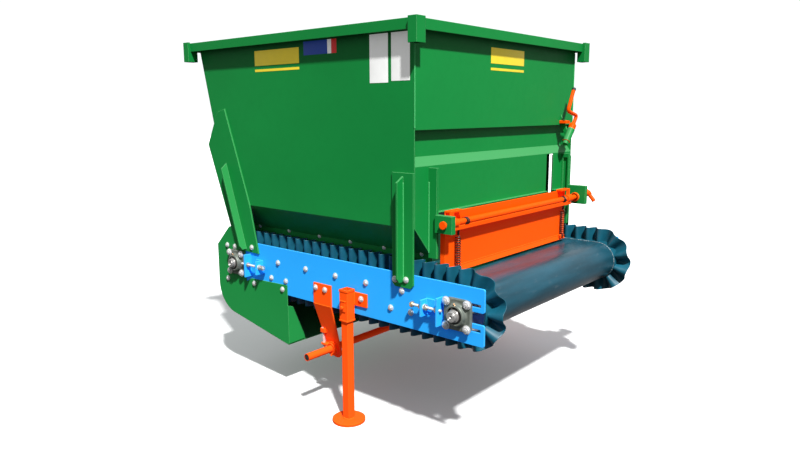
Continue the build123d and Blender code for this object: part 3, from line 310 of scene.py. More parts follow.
# ---- finishes -------------------------------------------------------------
class Signal:
    """One output of a shader node. Sums, products and the like add their Math nodes."""

    def __init__(self, tree, socket):
        self.tree = tree
        self.socket = socket

    def math(self, operation, *values):
        inputs = dict(enumerate((self,) + values))
        return add_node(self.tree, "ShaderNodeMath", {"operation": operation}, inputs)

    def __add__(self, other):
        return self.math("ADD", other)

    __radd__ = __add__

    def __sub__(self, other):
        return self.math("SUBTRACT", other)

    def __rsub__(self, other):
        return add_node(self.tree, "ShaderNodeMath", {"operation": "SUBTRACT"}, {0: other, 1: self})

    def __mul__(self, other):
        return self.math("MULTIPLY", other)

    __rmul__ = __mul__

    def clamp(self):
        return add_node(self.tree, "ShaderNodeClamp", {}, {0: self})

    def over(self, low, high):
        """0 under low, 1 over high and even between them."""
        return ((self - low) * (1 / (high - low))).clamp()


def add_node(tree, kind, settings, inputs, output=0):
    """A node of the given type: its settings first, then its sockets' values or links."""
    node = tree.nodes.new(kind)
    for key, value in settings.items():
        setattr(node, key, value)
    for key, value in inputs.items():
        if isinstance(value, Signal):
            tree.links.new(value.socket, node.inputs[key])
        else:
            node.inputs[key].default_value = value
    return Signal(tree, node.outputs[output])


def noise(tree, place, scale, detail=2.0, stretch=None):
    """Noise of a scale in cells per metre; stretch divides the cell along x, y and z."""
    if stretch:
        place = add_node(tree, "ShaderNodeMapping", {}, {"Vector": place, "Scale": stretch})
    inputs = {"Vector": place, "Scale": scale, "Detail": detail}
    return add_node(tree, "ShaderNodeTexNoise", {}, inputs)


def blend(tree, factor, first, second):
    """The first colour where the factor is 0 and the second where it is 1."""
    colours = {0: factor, 6: first, 7: second}
    return add_node(tree, "ShaderNodeMix", {"data_type": "RGBA"}, colours, 2)


def tone(colour, amount):
    """The colour made lighter or darker by a factor, with full alpha."""
    return tuple(min(1.0, part * amount) for part in colour[:3]) + (1.0,)


def floor_bounce_lit(colour):
    """The colour a shade paler and greyer: painted light bounced up from the floor onto the coat
    near the ground.
    """
    return tuple(min(1.0, part * 1.22 + 0.012) for part in colour[:3]) + (1.0,)


def bump(tree, height, distance, strength=1.0, normal=None):
    """The surface's direction tilted by a height, whose full swing is a distance in metres."""
    inputs = {"Height": height, "Distance": distance, "Strength": strength}
    if normal:
        inputs["Normal"] = normal
    return add_node(tree, "ShaderNodeBump", {}, inputs)


def dot(tree, first, second):
    """The two directions' dot product."""
    product = {"operation": "DOT_PRODUCT"}
    return add_node(tree, "ShaderNodeVectorMath", product, {0: first, 1: second}, 1)


def height_of(tree, direction):
    """The z of a place or direction."""
    return add_node(tree, "ShaderNodeSeparateXYZ", {}, {0: direction}, "Z")


def rounded(tree, radius):
    """The surface's direction with its edges rounded, and a mask that is 1 at those edges."""
    soft = add_node(tree, "ShaderNodeBevel", {"samples": 4}, {"Radius": radius})
    flat = add_node(tree, "ShaderNodeNewGeometry", {}, {}, "Normal")
    match = dot(tree, soft, flat)
    return soft, (1 - match).over(0.01, 0.16)


def new_finish(name, build, **constants):
    """A material whose build function returns the links of its varying sockets."""
    old = bpy.data.materials.get(name)
    if old:
        return old
    finish = bpy.data.materials.new(name)
    finish.use_nodes = True
    tree = finish.node_tree
    shader = tree.nodes["Principled BSDF"]
    for socket, value in constants.items():
        shader.inputs[socket.replace("_", " ")].default_value = value
    place = add_node(tree, "ShaderNodeTexCoord", {}, {}, "Object")
    for socket, value in build(tree, place).items():
        if isinstance(value, Signal):
            tree.links.new(value.socket, shader.inputs[socket])
        else:
            shader.inputs[socket].default_value = value
    return finish


# edge is the colour of the pale thin edges, partly a painted highlight; glow paints in light thrown
# back onto the coat.
def paint(name, colour, edge=(0.15, 0.48, 0.20), glow=(0.0, 0.0, 0.0), shine=0.11, dust_and_sheen=0.0):
    """Powder coat: slow tone drift, a paler foot that paints in light bounced up from the floor,
    faces that look up paler with dust and a painted sheen, faint mottle, pale thin edges that are
    partly a thinner coat and partly a painted highlight, and fine peel."""
    def build(tree, place):
        drift = noise(tree, place, 1.3, 3.0)
        mottle = noise(tree, place, 28.0, 3.0)
        soft, edges = rounded(tree, 0.003)
        # The foot mask: the coat turns paler towards the ground, painted light bounced up from the
        # floor.
        foot = 1 - height_of(tree, place).over(0.35, 1.15)
        body = blend(tree, drift.over(0.3, 0.7), tone(colour, 0.92), tone(colour, 1.06))
        body = blend(tree, mottle.over(0.45, 0.8) * 0.22, body, tone(colour, 0.84))
        body = blend(tree, foot * 0.7, body, floor_bounce_lit(colour))
        # Faces that look up turn paler: partly dust settled on them, partly a painted sheen of the
        # sky.
        if dust_and_sheen:
            facing = add_node(tree, "ShaderNodeNewGeometry", {}, {}, "Normal")
            dust_and_sheen_colour = tuple(part * 0.96 + dust_and_sheen for part in colour[:3]) + (1.0,)
            body = blend(tree, height_of(tree, facing).over(0.12, 0.65), body, dust_and_sheen_colour)
        peel = noise(tree, place, 700.0, 1.0)
        sheet = noise(tree, place, 3.2, 1.0)
        waved = bump(tree, sheet, 0.010, 0.25, soft)
        return {
            # Pale thin edges: partly a thinner coat, partly a painted highlight along them.
            "Base Color": blend(tree, edges * 0.8, body, edge + (1.0,)),
            "Roughness": 0.42 + mottle * 0.12 - edges * 0.05,
            "Normal": bump(tree, peel, 0.00012, 0.35, waved),
        }
    return new_finish(name, build, Specular_IOR_Level=shine, Coat_Weight=shine * 0.4,
                      Coat_Roughness=0.3, Emission_Color=glow + (1.0,), Emission_Strength=1.0)


def green(settings):
    """Green coat, paler on the faces that look up: dust lying on it and a painted sheen."""
    return paint("green_coat", settings.green, dust_and_sheen=0.045)


def blue(settings):
    """Blue coat, with a faint glow for the light thrown back onto it."""
    return paint("blue_coat", settings.blue, (0.18, 0.60, 1.0), glow=(0.0, 0.0, 0.12))


def orange(settings):
    """Orange coat, duller, with a faint red glow for the light thrown back onto it."""
    return paint("orange_coat", settings.orange, (1.0, 0.24, 0.015), glow=(0.13, 0.001, 0.0),
                 shine=0.05)


def two_tone(name, grain, blended, first, second, rough, peel=None, **constants):
    """A finish that drifts between two colours. Grain holds the noise's scale and detail, and
    blended the two levels of it that the colours run between. The roughness is the first
    value of rough plus its second times the noise, and peel is the bump's depth and strength."""
    def build(tree, place):
        cloud = noise(tree, place, *grain)
        links = {"Base Color": blend(tree, cloud.over(*blended), first + (1.0,), second + (1.0,)),
                 "Roughness": rough[0] + cloud * rough[1]}
        if peel:
            links["Normal"] = bump(tree, cloud, *peel)
        return links
    return new_finish(name, build, **constants)


def zinc():
    """Zinc plate: bright metal with a faint straw and blue bloom and dull spots."""
    def build(tree, place):
        bloom = noise(tree, place, 45.0, 3.0)
        spots = noise(tree, place, 260.0, 2.0)
        body = blend(tree, bloom.over(0.35, 0.65), (0.90, 0.88, 0.85, 1), (0.80, 0.81, 0.84, 1))
        body = blend(tree, spots.over(0.58, 0.72) * 0.4, body, (0.50, 0.46, 0.42, 1))
        return {
            "Base Color": body,
            "Roughness": 0.20 + spots * 0.16,
            "Normal": bump(tree, spots, 0.0002, 0.3),
        }
    return new_finish("zinc_plate", build, Metallic=0.5)


def casting():
    """Grey-green painted casting: grainy skin and paler edges, a painted highlight along them."""
    def build(tree, place):
        grain = noise(tree, place, 380.0, 3.0)
        patch = noise(tree, place, 40.0, 3.0)
        soft, edges = rounded(tree, 0.0016)
        body = blend(tree, patch.over(0.3, 0.7), (0.13, 0.150, 0.125, 1), (0.21, 0.235, 0.20, 1))
        # Paler edges: a painted highlight along them.
        body = blend(tree, edges * 0.6, body, (0.62, 0.62, 0.56, 1))
        return {
            "Base Color": body,
            "Roughness": 0.40 + grain * 0.25,
            "Normal": bump(tree, grain, 0.0004, 0.5, soft),
        }
    return new_finish("cast_grey", build, Metallic=0.35)


def dark_casting():
    """Black painted casting with a light sand grain and greyer edges, a painted highlight along
    them.
    """
    def build(tree, place):
        grain = noise(tree, place, 420.0, 3.0)
        soft, edges = rounded(tree, 0.0016)
        return {
            # Greyer edges: a painted highlight along them.
            "Base Color": blend(tree, edges * 0.5, (0.018, 0.019, 0.021, 1), (0.10, 0.10, 0.10, 1)),
            "Roughness": 0.38 + grain * 0.2,
            "Normal": bump(tree, grain, 0.0003, 0.5, soft),
        }
    return new_finish("motor_black", build)


def steel():
    """Turned steel: fine rings across the axis and a little oil staining."""
    def build(tree, place):
        rings = noise(tree, place, 60.0, 2.0, (6.0, 60.0, 6.0))
        stain = noise(tree, place, 20.0, 3.0)
        body = blend(tree, stain.over(0.4, 0.7), (0.60, 0.59, 0.57, 1), (0.42, 0.40, 0.38, 1))
        return {
            "Base Color": body,
            "Roughness": 0.22 + rings * 0.2,
            "Normal": bump(tree, rings, 0.0001, 0.5),
        }
    return new_finish("turned_steel", build, Metallic=0.6)


def dark_steel():
    """Oiled bearing ring: dark steel with a thin greasy shine."""
    return two_tone("bearing_ring", (90.0, 3.0), (0.4, 0.7), (0.045, 0.043, 0.040),
                    (0.13, 0.12, 0.11), (0.28, 0.25), Metallic=0.6)


def straw_zinc():
    """Yellow passivated zinc: straw with pink and green bloom."""
    return two_tone("straw_plate", (70.0, 3.0), (0.35, 0.65), (0.78, 0.56, 0.33),
                    (0.66, 0.60, 0.52), (0.26, 0.2), Metallic=0.8)


def dark_wire():
    """Oiled spring wire: nearly black steel with worn streaks."""
    return two_tone("dark_wire", (220.0, 2.0), (0.5, 0.75), (0.030, 0.022, 0.018),
                    (0.30, 0.22, 0.17), (0.30, 0.25), Metallic=0.7)


def brass():
    """Brass with dull worn spots."""
    return two_tone("nipple_brass", (120.0, 2.0), (0.4, 0.7), (0.72, 0.42, 0.22),
                    (0.50, 0.32, 0.20), (0.28, 0.2), Metallic=0.9)


def seal_rubber():
    """Black rubber with a dry, faintly dusty skin."""
    return two_tone("black_rubber", (90.0, 3.0), (0.5, 0.8), (0.012, 0.013, 0.014),
                    (0.05, 0.05, 0.047), (0.5, 0.25), (0.0004, 0.4))


def glue():
    """Pale dried glue, broken into beads."""
    return two_tone("glue_line", (160.0, 2.0), (0.46, 0.6), (0.07, 0.12, 0.14),
                    (0.42, 0.47, 0.47), (0.45, 0.2), (0.001, 0.6))


def film(name, colour):
    """Printed film: an even colour with a soft satin, slight weathering and a faint glow that
    paints light into its shade.
    """
    # The glow paints light into the film's shade.
    return two_tone(name, (25.0, 3.0), (0.35, 0.7), tone(colour, 0.93)[:3], colour, (0.32, 0.15),
                    Emission_Color=tone(colour, 1.0), Emission_Strength=0.22)


def belt_cover(settings):
    """Belt cover: blue-grey rubber with long lighter and darker bands across it that paint in a
    reflection of the surroundings, scuffs and an oily gloss.
    """
    def build(tree, place):
        # Bands stretched across the belt, along the rollers' axis: a painted reflection of the
        # surroundings; they also vary the roughness.
        reflection_band = noise(tree, place, 16.0, 4.0, (1.0, 0.10, 1.0))
        scuff = noise(tree, place, 55.0, 4.0, (1.0, 0.25, 1.0))
        cloud = noise(tree, place, 4.0, 3.0)
        body = blend(tree, reflection_band.over(0.38, 0.66),
                     tone(settings.belt, 0.72), tone(settings.belt, 1.25))
        body = blend(tree, scuff.over(0.60, 0.78) * 0.35, body, (0.10, 0.14, 0.165, 1))
        waved = bump(tree, cloud, 0.010, 0.35)
        return {
            "Base Color": body,
            "Roughness": 0.24 + reflection_band * 0.16 + scuff.over(0.5, 0.8) * 0.14,
            "Normal": bump(tree, scuff, 0.0006, 0.35, waved),
        }
    return new_finish("belt_cover", build, Specular_IOR_Level=0.38)


def wave_rubber(settings):
    """Sidewall rubber: teal, with a slow cloudy tone drift and paler edges, partly dust and partly
    a painted highlight.
    """
    def build(tree, place):
        cloud = noise(tree, place, 14.0, 3.0)
        grain = noise(tree, place, 240.0, 2.0)
        soft, edges = rounded(tree, 0.0012)
        body = blend(tree, cloud.over(0.35, 0.7),
                     tone(settings.sidewall, 0.78), tone(settings.sidewall, 1.22))
        # Paler edges: partly dust, partly a painted highlight.
        body = blend(tree, edges * 0.35, body, (0.05, 0.17, 0.22, 1))
        return {
            "Base Color": body,
            "Roughness": 0.32 + grain * 0.16 + cloud * 0.08,
            "Normal": bump(tree, grain, 0.0003, 0.35, soft),
        }
    return new_finish("wave_rubber", build)


def apply_finish(finish, *nodes):
    """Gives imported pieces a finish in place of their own."""
    for name in nodes:
        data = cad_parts[name].data
        data.materials.clear()
        data.materials.append(finish)


# ---- settings -------------------------------------------------------------
class SpreaderColours(bpy.types.PropertyGroup):
    green: FloatVectorProperty(
        name="Green", description="Powder coat of the hopper and guard",
        default=(0.006, 0.235, 0.044), subtype="COLOR", size=3, min=0, max=1)
    blue: FloatVectorProperty(
        name="Blue", description="Powder coat of the side rails",
        default=(0.020, 0.41, 1.0), subtype="COLOR", size=3, min=0, max=1)
    orange: FloatVectorProperty(
        name="Orange", description="Powder coat of the flap, legs and hitch",
        default=(1.0, 0.086, 0.0), subtype="COLOR", size=3, min=0, max=1)
    belt: FloatVectorProperty(
        name="Belt", description="Rubber of the belt's cover",
        default=(0.009, 0.060, 0.090), subtype="COLOR", size=3, min=0, max=1)
    sidewall: FloatVectorProperty(
        name="Sidewall", description="Rubber of the wavy sidewalls",
        default=(0.004, 0.086, 0.130), subtype="COLOR", size=3, min=0, max=1)


class SpreaderSidewalls(bpy.types.PropertyGroup):
    waves: IntProperty(
        name="Waves", description="Waves round the whole loop", default=56, min=20, max=150)
    start: FloatProperty(
        name="Start", description="Share of a wave by which the first one is shifted",
        default=0.172, min=0, max=1, subtype="FACTOR")
    sheet: FloatProperty(
        name="Sheet", description="Thickness of the rubber sheet in mm",
        default=2.8, min=1.5, max=4)
    square: FloatProperty(
        name="Square", description="How flat the waves' crests are", default=1.0, min=0.5, max=4)
    relax: FloatProperty(
        name="Relax", description="Share of the wave lost at the outer edge round the rollers",
        default=0.24, min=0, max=0.8, subtype="FACTOR")
    foot: FloatProperty(
        name="Foot", description="Thickness of the glued foot strip in mm",
        default=2.4, min=1, max=5)


class SpreaderFasteners(bpy.types.PropertyGroup):
    flats: FloatProperty(
        name="Flats", description="Bolt heads across flats in mm", default=21.0, min=10, max=30)
    head: FloatProperty(
        name="Head", description="Height of the bolt heads in mm", default=8.5, min=5, max=20)
    rod: FloatProperty(
        name="Rod", description="Radius of the tensioner rods in mm", default=6.6, min=4, max=8)
    pitch: FloatProperty(
        name="Pitch", description="Thread pitch of the rods in mm", default=2.5, min=1, max=4)


class SpreaderGate(bpy.types.PropertyGroup):
    wire: FloatProperty(
        name="Wire", description="Radius of the spring wire in mm", default=2.4, min=0.8, max=3)
    coil: FloatProperty(
        name="Coil", description="Outer radius of the coils in mm", default=14.0, min=4, max=15)
    turns: IntProperty(
        name="Turns", description="Coils of each flap spring", default=12, min=8, max=60)


class SpreaderStage(bpy.types.PropertyGroup):
    lens: FloatProperty(
        name="Lens", description="Focal length in mm", default=29.854, min=10, max=200)
    sun: FloatProperty(
        name="Sun", description="Strength of the key light", default=6.2, min=0, max=20)
    sky: FloatProperty(
        name="Sky", description="Strength of the soft light from above",
        default=0.42, min=0, max=5)
    back: FloatProperty(
        name="Back", description="Strength of the soft light from the tractor side",
        default=0.55, min=0, max=5)
    lift: FloatProperty(
        name="Lift", description="Glow that softens the shadows on the floor",
        default=0.085, min=0, max=1)
    ground: FloatProperty(
        name="Ground", description="Strength of the soft light from below",
        default=0.085, min=0, max=5)


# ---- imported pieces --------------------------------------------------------
GREEN_NODES = (
    "hopper_near_wall", "hopper_far_wall", "hopper_back_wall", "hopper_front_panel",
    "hopper_lower_panel", "hopper_inner_wall", "hopper_rim", "rim_corner_caps",
    "near_front_support", "far_front_support", "near_rear_support", "far_rear_support",
    "gate_uprights", "gate_brackets", "near_guard_side", "far_guard_side", "guard_wrapper",
    "crank_sleeve",
)
BLUE_NODES = ("near_rail", "far_rail", "tensioner_lugs", "cross_members", "belt_bed", "tie_bars")
ORANGE_NODES = (
    "gate_flap", "gate_lock", "crank", "near_leg_socket", "near_leg", "far_leg_sockets",
    "far_front_leg", "far_rear_leg", "hangers", "cross_tube", "hitch_frame", "hitch_cheeks",
    "top_link_clevis",
)


class SPREADER_OT_coats(bpy.types.Operator):
    """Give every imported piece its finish"""
    bl_idname = "spreader.coats"
    bl_label = "Coats"

    def execute(self, context):
        colours = context.scene.spreader_colours
        apply_finish(green(colours), *GREEN_NODES)
        apply_finish(blue(colours), *BLUE_NODES)
        apply_finish(orange(colours), *ORANGE_NODES)
        apply_finish(belt_cover(colours), "belt")
        apply_finish(wave_rubber(colours), "near_sidewall", "far_sidewall")
        apply_finish(seal_rubber(), "skirt_rubbers")
        apply_finish(steel(), "discharge_roller", "tail_roller")
        apply_finish(zinc(), "tensioner_rods", "lower_hitch_pins")
        apply_finish(casting(), "discharge_bearings", "tail_bearings")
        apply_finish(dark_wire(), "gate_springs")
        apply_finish(dark_casting(), "drive_motor")
        return {"FINISHED"}


# ---- belt loop ------------------------------------------------------------
STRAIGHT = 2 * half_spacing
HALF_TURN = math.pi * belt_radius
LOOP = 2 * (STRAIGHT + HALF_TURN)
STEPS_PER_WAVE = 24
BAND_STEPS = 900
SINK = 0.3              # how far the glued strips reach into the belt


def racetrack(run, height):
    """Points of the loop round both rollers: on the straights x follows the run, and round a
    roller the angle falls by run / belt radius; height stands square to the loop."""
    top, first = run < STRAIGHT, run < STRAIGHT + HALF_TURN
    under = run < 2 * STRAIGHT + HALF_TURN
    back = half_spacing - (run - STRAIGHT - HALF_TURN)
    centre = np.where(top, run - half_spacing,
                      np.where(first, half_spacing, np.where(under, back, -half_spacing)))
    down = np.pi / 2 - (run - STRAIGHT) / belt_radius
    rise = -np.pi / 2 - (run - 2 * STRAIGHT - HALF_TURN) / belt_radius
    angle = np.where(top, np.pi / 2,
                     np.where(first, down, np.where(under, -np.pi / 2, rise)))
    reach = belt_radius + height
    return centre + reach * np.cos(angle), AXIS_HEIGHT + reach * np.sin(angle)


def round_roller(run, ease=60.0):
    """How far a place on the loop is round a roller: 1 on the arcs, and 3 t^2 - 2 t^3 beside
    them, where t falls from 1 to 0 over the ease."""
    place = np.mod(run, STRAIGHT + HALF_TURN)
    from_arc = np.where(place > STRAIGHT, 0, np.minimum(STRAIGHT - place, place))
    t = np.clip(1 - from_arc / ease, 0, 1)
    return t * t * (3 - 2 * t)


def wave_sheet(settings, clearance=0.1, narrowed=0.10):
    """The wavy sidewall: y = middle + swing tanh(k sin p) / tanh k, with p the phase along the
    loop and k the squareness of the waves. The swing falls towards the outer edge round the
    rollers and is narrowed a little at the foot. Both faces stand half a sheet's thickness off
    that surface, and a half round joins them at the outer edge."""
    run = np.linspace(0, LOOP, settings.waves * STEPS_PER_WAVE, endpoint=False)[:, None]
    half = settings.sheet / 2
    foot = settings.foot / 2
    rise = band_radius - belt_radius - half - clearance
    share = np.concatenate(([0.0, 0.04], np.linspace(0.16, 0.90, 6), [0.96, 1.0]))[None, :]
    x, z = racetrack(run, foot + (rise - foot) * share)
    phase = 2 * np.pi * (settings.waves * run / LOOP + settings.start)
    swing = (band_out - band_in) / 2 - half
    swing = swing * (1 - settings.relax * round_roller(run) * share)
    swing = swing * (1 - narrowed * (1 - share) ** 6)
    wave = np.tanh(settings.square * np.sin(phase)) / math.tanh(settings.square)
    y = -(band_out + band_in) / 2 + swing * wave
    sheet = np.stack(np.broadcast_arrays(x, y, z), axis=-1)
    along = np.roll(sheet, -1, axis=0) - np.roll(sheet, 1, axis=0)
    up = np.gradient(sheet, axis=1)
    off = np.cross(up, along)
    off /= np.linalg.norm(off, axis=-1, keepdims=True)
    up /= np.linalg.norm(up, axis=-1, keepdims=True)
    angle = np.linspace(0, np.pi, 6)[None, 1:-1, None]
    edge = sheet[:, -1:] + half * (np.cos(angle) * off[:, -1:] + np.sin(angle) * up[:, -1:])
    front, back = sheet + off * half, sheet - off * half
    return skin(np.concatenate((front, edge, back[:, ::-1]), axis=1), loop=True)


def loop_band(inner, outer, thick, lumps=0.0):
    """A flat strip glued round the loop, between two distances from the middle. Its height
    swells by lumps sin(0.9 run + 2 sin(0.31 run))."""
    run = np.linspace(0, LOOP, BAND_STEPS, endpoint=False)[:, None]
    corner = min(thick, (outer - inner) / 2) * 0.5
    section = np.array([(-inner, -SINK), (-inner, thick - corner), (-inner - corner, thick),
                        (-outer + corner, thick), (-outer, thick - corner), (-outer, -SINK)])
    swell = 1 + lumps * np.sin(run * 0.9 + 2 * np.sin(run * 0.31))
    x, z = racetrack(run, section[:, 1] * swell)
    points = np.stack(np.broadcast_arrays(x, section[:, 0], z), axis=-1)
    return skin(points, loop=True)


FOOT_IN, FOOT_OUT = 5.0, 3.5    # the foot strip past the waves on the belt's side and outside
GLUE = (2.2, 0.2, 1.6, 0.5)     # the glue line inside and over the strip, its height and lumps


class SPREADER_OT_sidewalls(bpy.types.Operator):
    """Wavy rubber sidewalls with their glued feet"""
    bl_idname = "spreader.sidewalls"
    bl_label = "Sidewalls"

    def execute(self, context):
        settings = context.scene.spreader_sidewalls
        rubber = wave_rubber(context.scene.spreader_colours)
        inner = band_in - FOOT_IN
        wall = wave_sheet(settings)
        strip = loop_band(inner, band_out + FOOT_OUT, settings.foot)
        line = loop_band(inner - GLUE[0], inner + GLUE[1], GLUE[2], GLUE[3])
        for side in ("near", "far"):
            if side == "far":
                wall, strip, line = wall.across(), strip.across(), line.across()
            piece = make_piece(side + "_wave", wall, rubber, sharp=60.0)
            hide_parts(side + "_sidewall")
            make_piece(side + "_wave_foot", strip, rubber)
            make_piece(side + "_wave_glue", line, glue())
        return {"FINISHED"}


# ---- fasteners ------------------------------------------------------------
WIDE = 99.0             # a radius that an outline always limits


def bolt_head(settings, thread=1.6, size=1.0):
    """A flanged hexagon head with a domed top: a turned profile limited by a hexagon, on a
    round flange, with the end of the thread standing out of it."""
    flats, head = settings.flats, settings.head
    collar = turned([(flats * 0.72, -0.6), (flats * 0.72, 1.4), (flats * 0.60, 3.0)], 20)
    top = turned([(WIDE, 2.6), (WIDE, head * 0.78), (flats * 0.52, head * 0.92),
                  (flats * 0.40, head)], 24, hexagon(flats))
    end = turned([(flats * 0.31, head - 0.5), (flats * 0.31, head + thread - 1),
                  (flats * 0.24, head + thread)], 12)
    bolt = collar + top + end
    bolt.points *= size
    return bolt


def scatter(count):
    """A fixed turn for each bolt, so that no two heads stand the same way."""
    return np.random.default_rng(7).uniform(0, 2 * np.pi, 400)[:count]


RAIL_FACE = 720.0
PLATE_FACE = 728.0
GUARD_FACE = 724.0
SKIRT_FACE = 606.0
RAIL_BOLTS = (  # x, z
    (-408, 685), (-191, 685), (24, 685), (227, 685), (447, 685), (-467, 595), (-349, 595),
    (381, 595), (498, 596),
)
PLATE_BOLTS = ((413, 735), (477, 741), (-618, 741), (-111, 606), (-44, 604))
GUARD_BOLTS = ((-848, 725), (-777, 726), (-854, 531), (-613, 540), (-374, 548))
SKIRT_BOLTS = tuple((x, 836) for x in (-694, -447, -207, 16, 240, 467))
LEG_BOLT, LEG_BOLT_TURN = (202, 603), 0.4
SKIRT_BOLT_SIZE = 0.75


def on_face(face, spots):
    """Places on a face of the near side from their x and z."""
    return [(x, -face, z) for x, z in spots]


class SPREADER_OT_bolts(bpy.types.Operator):
    """Flanged bolts in the rails, supports, guard, hangers and skirts"""
    bl_idname = "spreader.bolts"
    bl_label = "Bolts"

    def execute(self, context):
        settings = context.scene.spreader_fasteners
        places = (on_face(RAIL_FACE, RAIL_BOLTS) + on_face(PLATE_FACE, PLATE_BOLTS)
                  + on_face(GUARD_FACE, GUARD_BOLTS))
        large, small = bolt_head(settings), bolt_head(settings, size=SKIRT_BOLT_SIZE)
        near = large.placed(places, NEAR, scatter(len(places)))
        turns = scatter(len(SKIRT_BOLTS))
        near = near + small.placed(on_face(SKIRT_FACE, SKIRT_BOLTS), NEAR, turns)
        leg = large.placed(on_face(PLATE_FACE, [LEG_BOLT]), NEAR, LEG_BOLT_TURN)
        make_piece("frame_bolts", near.both() + leg, zinc())
        return {"FINISHED"}


# ---- bearings and rollers -------------------------------------------------
def rounded_square(half, power=7.0):
    """Radius of a rounded square at each angle: half / (|cos|^p + |sin|^p)^(1/p)."""
    def reach(angle):
        powers = np.abs(np.cos(angle)) ** power + np.abs(np.sin(angle)) ** power
        return half / powers ** (1 / power)
    return reach


BEARING_HALF = 68.5
STUD = 52.5             # studs of a bearing from its axis, along x and up
STUD_SEAT = 17.5        # their heads out from the face that carries the bearing
STUD_HEAD_SIZE = (1.28, 1.28, 1.2)
BEARING_ROWS = (  # share of the circle, circle radius, inset of the square, height
    (0, 0, 0, 0), (0, 0, 0, 11), (0, 0, 1.5, 13.6), (0, 0, 4, 14.6), (0.25, 56, 4, 14.6),
    (0.5, 56, 4, 14.2), (0.75, 55, 4, 14.0), (1, 54, 0, 14.2), (1, 50, 0, 16), (1, 47.5, 0, 21),
    (1, 46.5, 0, 29), (1, 45.5, 0, 33), (1, 43, 0, 35.5), (1, 38, 0, 36), (1, 36.5, 0, 34.5),
    (1, 35.5, 0, 26), (1, 23.2, 0, 25.5), (1, 23.2, 0, 0),
)
BOSS = (19.0, 4.0, 3.0)     # reach of the boss round a stud, its slope and its height
SEAL_ROWS = ((35.6, 24), (35.6, 27), (34, 28), (28, 27.2), (28, 24))
INSERT_ROWS = ((29.5, 24), (29.5, 36), (28.5, 37.5), (23.8, 37.5), (23.3, 36.8))
COLLAR_ROWS = ((22.4, 34), (27.0, 34), (27.4, 38.4), (26.4, 39.6), (22.4, 39.6))
SET_SCREW_ROWS = ((4.2, 0), (4.2, 3), (3, 4), (1.6, 4), (1.6, 2))
SET_SCREW_TURNS = (0.9, 2.0)
SET_SCREW_AT = (29.4, 32.0)     # from the bearing's axis, and out from its face
NIPPLE_ROWS = ((4.6, -3), (4.6, 2), (3.0, 3), (2.6, 6), (3.6, 8), (3.2, 10.5), (1.4, 12))
NIPPLE_FLATS, NIPPLE_LEAN = 8.6, (0, -0.55, 0.84)
NIPPLE_AT = (44.5, 30.0)        # over the bearing's axis, and out from its face


def bearing_body():
    """A square flange that rises into a round hub. Each row blends a rounded square with a
    circle, and the height gains a boss round each stud."""
    rows = np.array(BEARING_ROWS, float)
    angle = np.linspace(0, 2 * np.pi, 96, endpoint=False)[None, :]
    share, radius, inset, height = (rows[:, [k]] for k in range(4))
    reach = (1 - share) * (rounded_square(BEARING_HALF)(angle) - inset) + share * radius
    x, y = reach * np.cos(angle), reach * np.sin(angle)
    away = np.hypot(np.abs(x) - STUD, np.abs(y) - STUD)
    boss_reach, slope, boss_height = BOSS
    boss = np.clip((boss_reach - away) / slope, 0, 1)
    on_flange = (height > 10) * (reach > 44)
    z = height + boss_height * boss * boss * (3 - 2 * boss) * on_flange
    return skin(np.stack((x, y, z), axis=-1), loop=True)


class SPREADER_OT_bearings(bpy.types.Operator):
    """Flanged bearings with their inserts, studs and grease nipples"""
    bl_idname = "spreader.bearings"
    bl_label = "Bearings"

    def execute(self, context):
        settings = context.scene.spreader_fasteners
        seats = [(half_spacing, -RAIL_FACE), (-half_spacing, -GUARD_FACE)]
        places = [(x, y, AXIS_HEIGHT) for x, y in seats]
        body = bearing_body().placed(places, NEAR)
        seal = turned(SEAL_ROWS, 48).placed(places, NEAR)
        insert = turned(INSERT_ROWS, 48).placed(places, NEAR)
        ring = turned(COLLAR_ROWS, 40).placed(places, NEAR)
        radius, out = SET_SCREW_AT
        turns = [(math.cos(a), math.sin(a)) for a in SET_SCREW_TURNS]
        screws = turned(SET_SCREW_ROWS, 10).placed(
            [(x + radius * c, y - out, AXIS_HEIGHT + radius * s)
             for x, y in seats for c, s in turns],
            [(c, 0, s) for _ in seats for c, s in turns])
        studs = [(x + dx, y - STUD_SEAT, AXIS_HEIGHT + dz) for x, y in seats
                 for dx in (-STUD, STUD) for dz in (-STUD, STUD)]
        heads = bolt_head(settings, size=STUD_HEAD_SIZE).placed(studs, NEAR, scatter(len(studs)))
        up, out = NIPPLE_AT
        nipples = turned(NIPPLE_ROWS, 14, hexagon(NIPPLE_FLATS)).placed(
            [(x, y - out, AXIS_HEIGHT + up) for x, y in seats], NIPPLE_LEAN)
        piece = make_piece("bearing_bodies", body.both(), casting(), sharp=40.0)
        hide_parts("discharge_bearings", "tail_bearings")
        make_piece("bearing_seals", seal.both(), seal_rubber())
        make_piece("bearing_inserts", (insert + screws).both(), dark_steel())
        make_piece("bearing_collars", ring.both(), steel())
        make_piece("bearing_bolts", heads.both(), zinc())
        make_piece("grease_nipples", nipples.both(), brass())
        return {"FINISHED"}


ROLLER_RADIUS, ROLLER_WALL, SHAFT_RADIUS = 94.0, 6.0, 22.5
DRUM_END, SHAFT_END = 655.0, 776.0


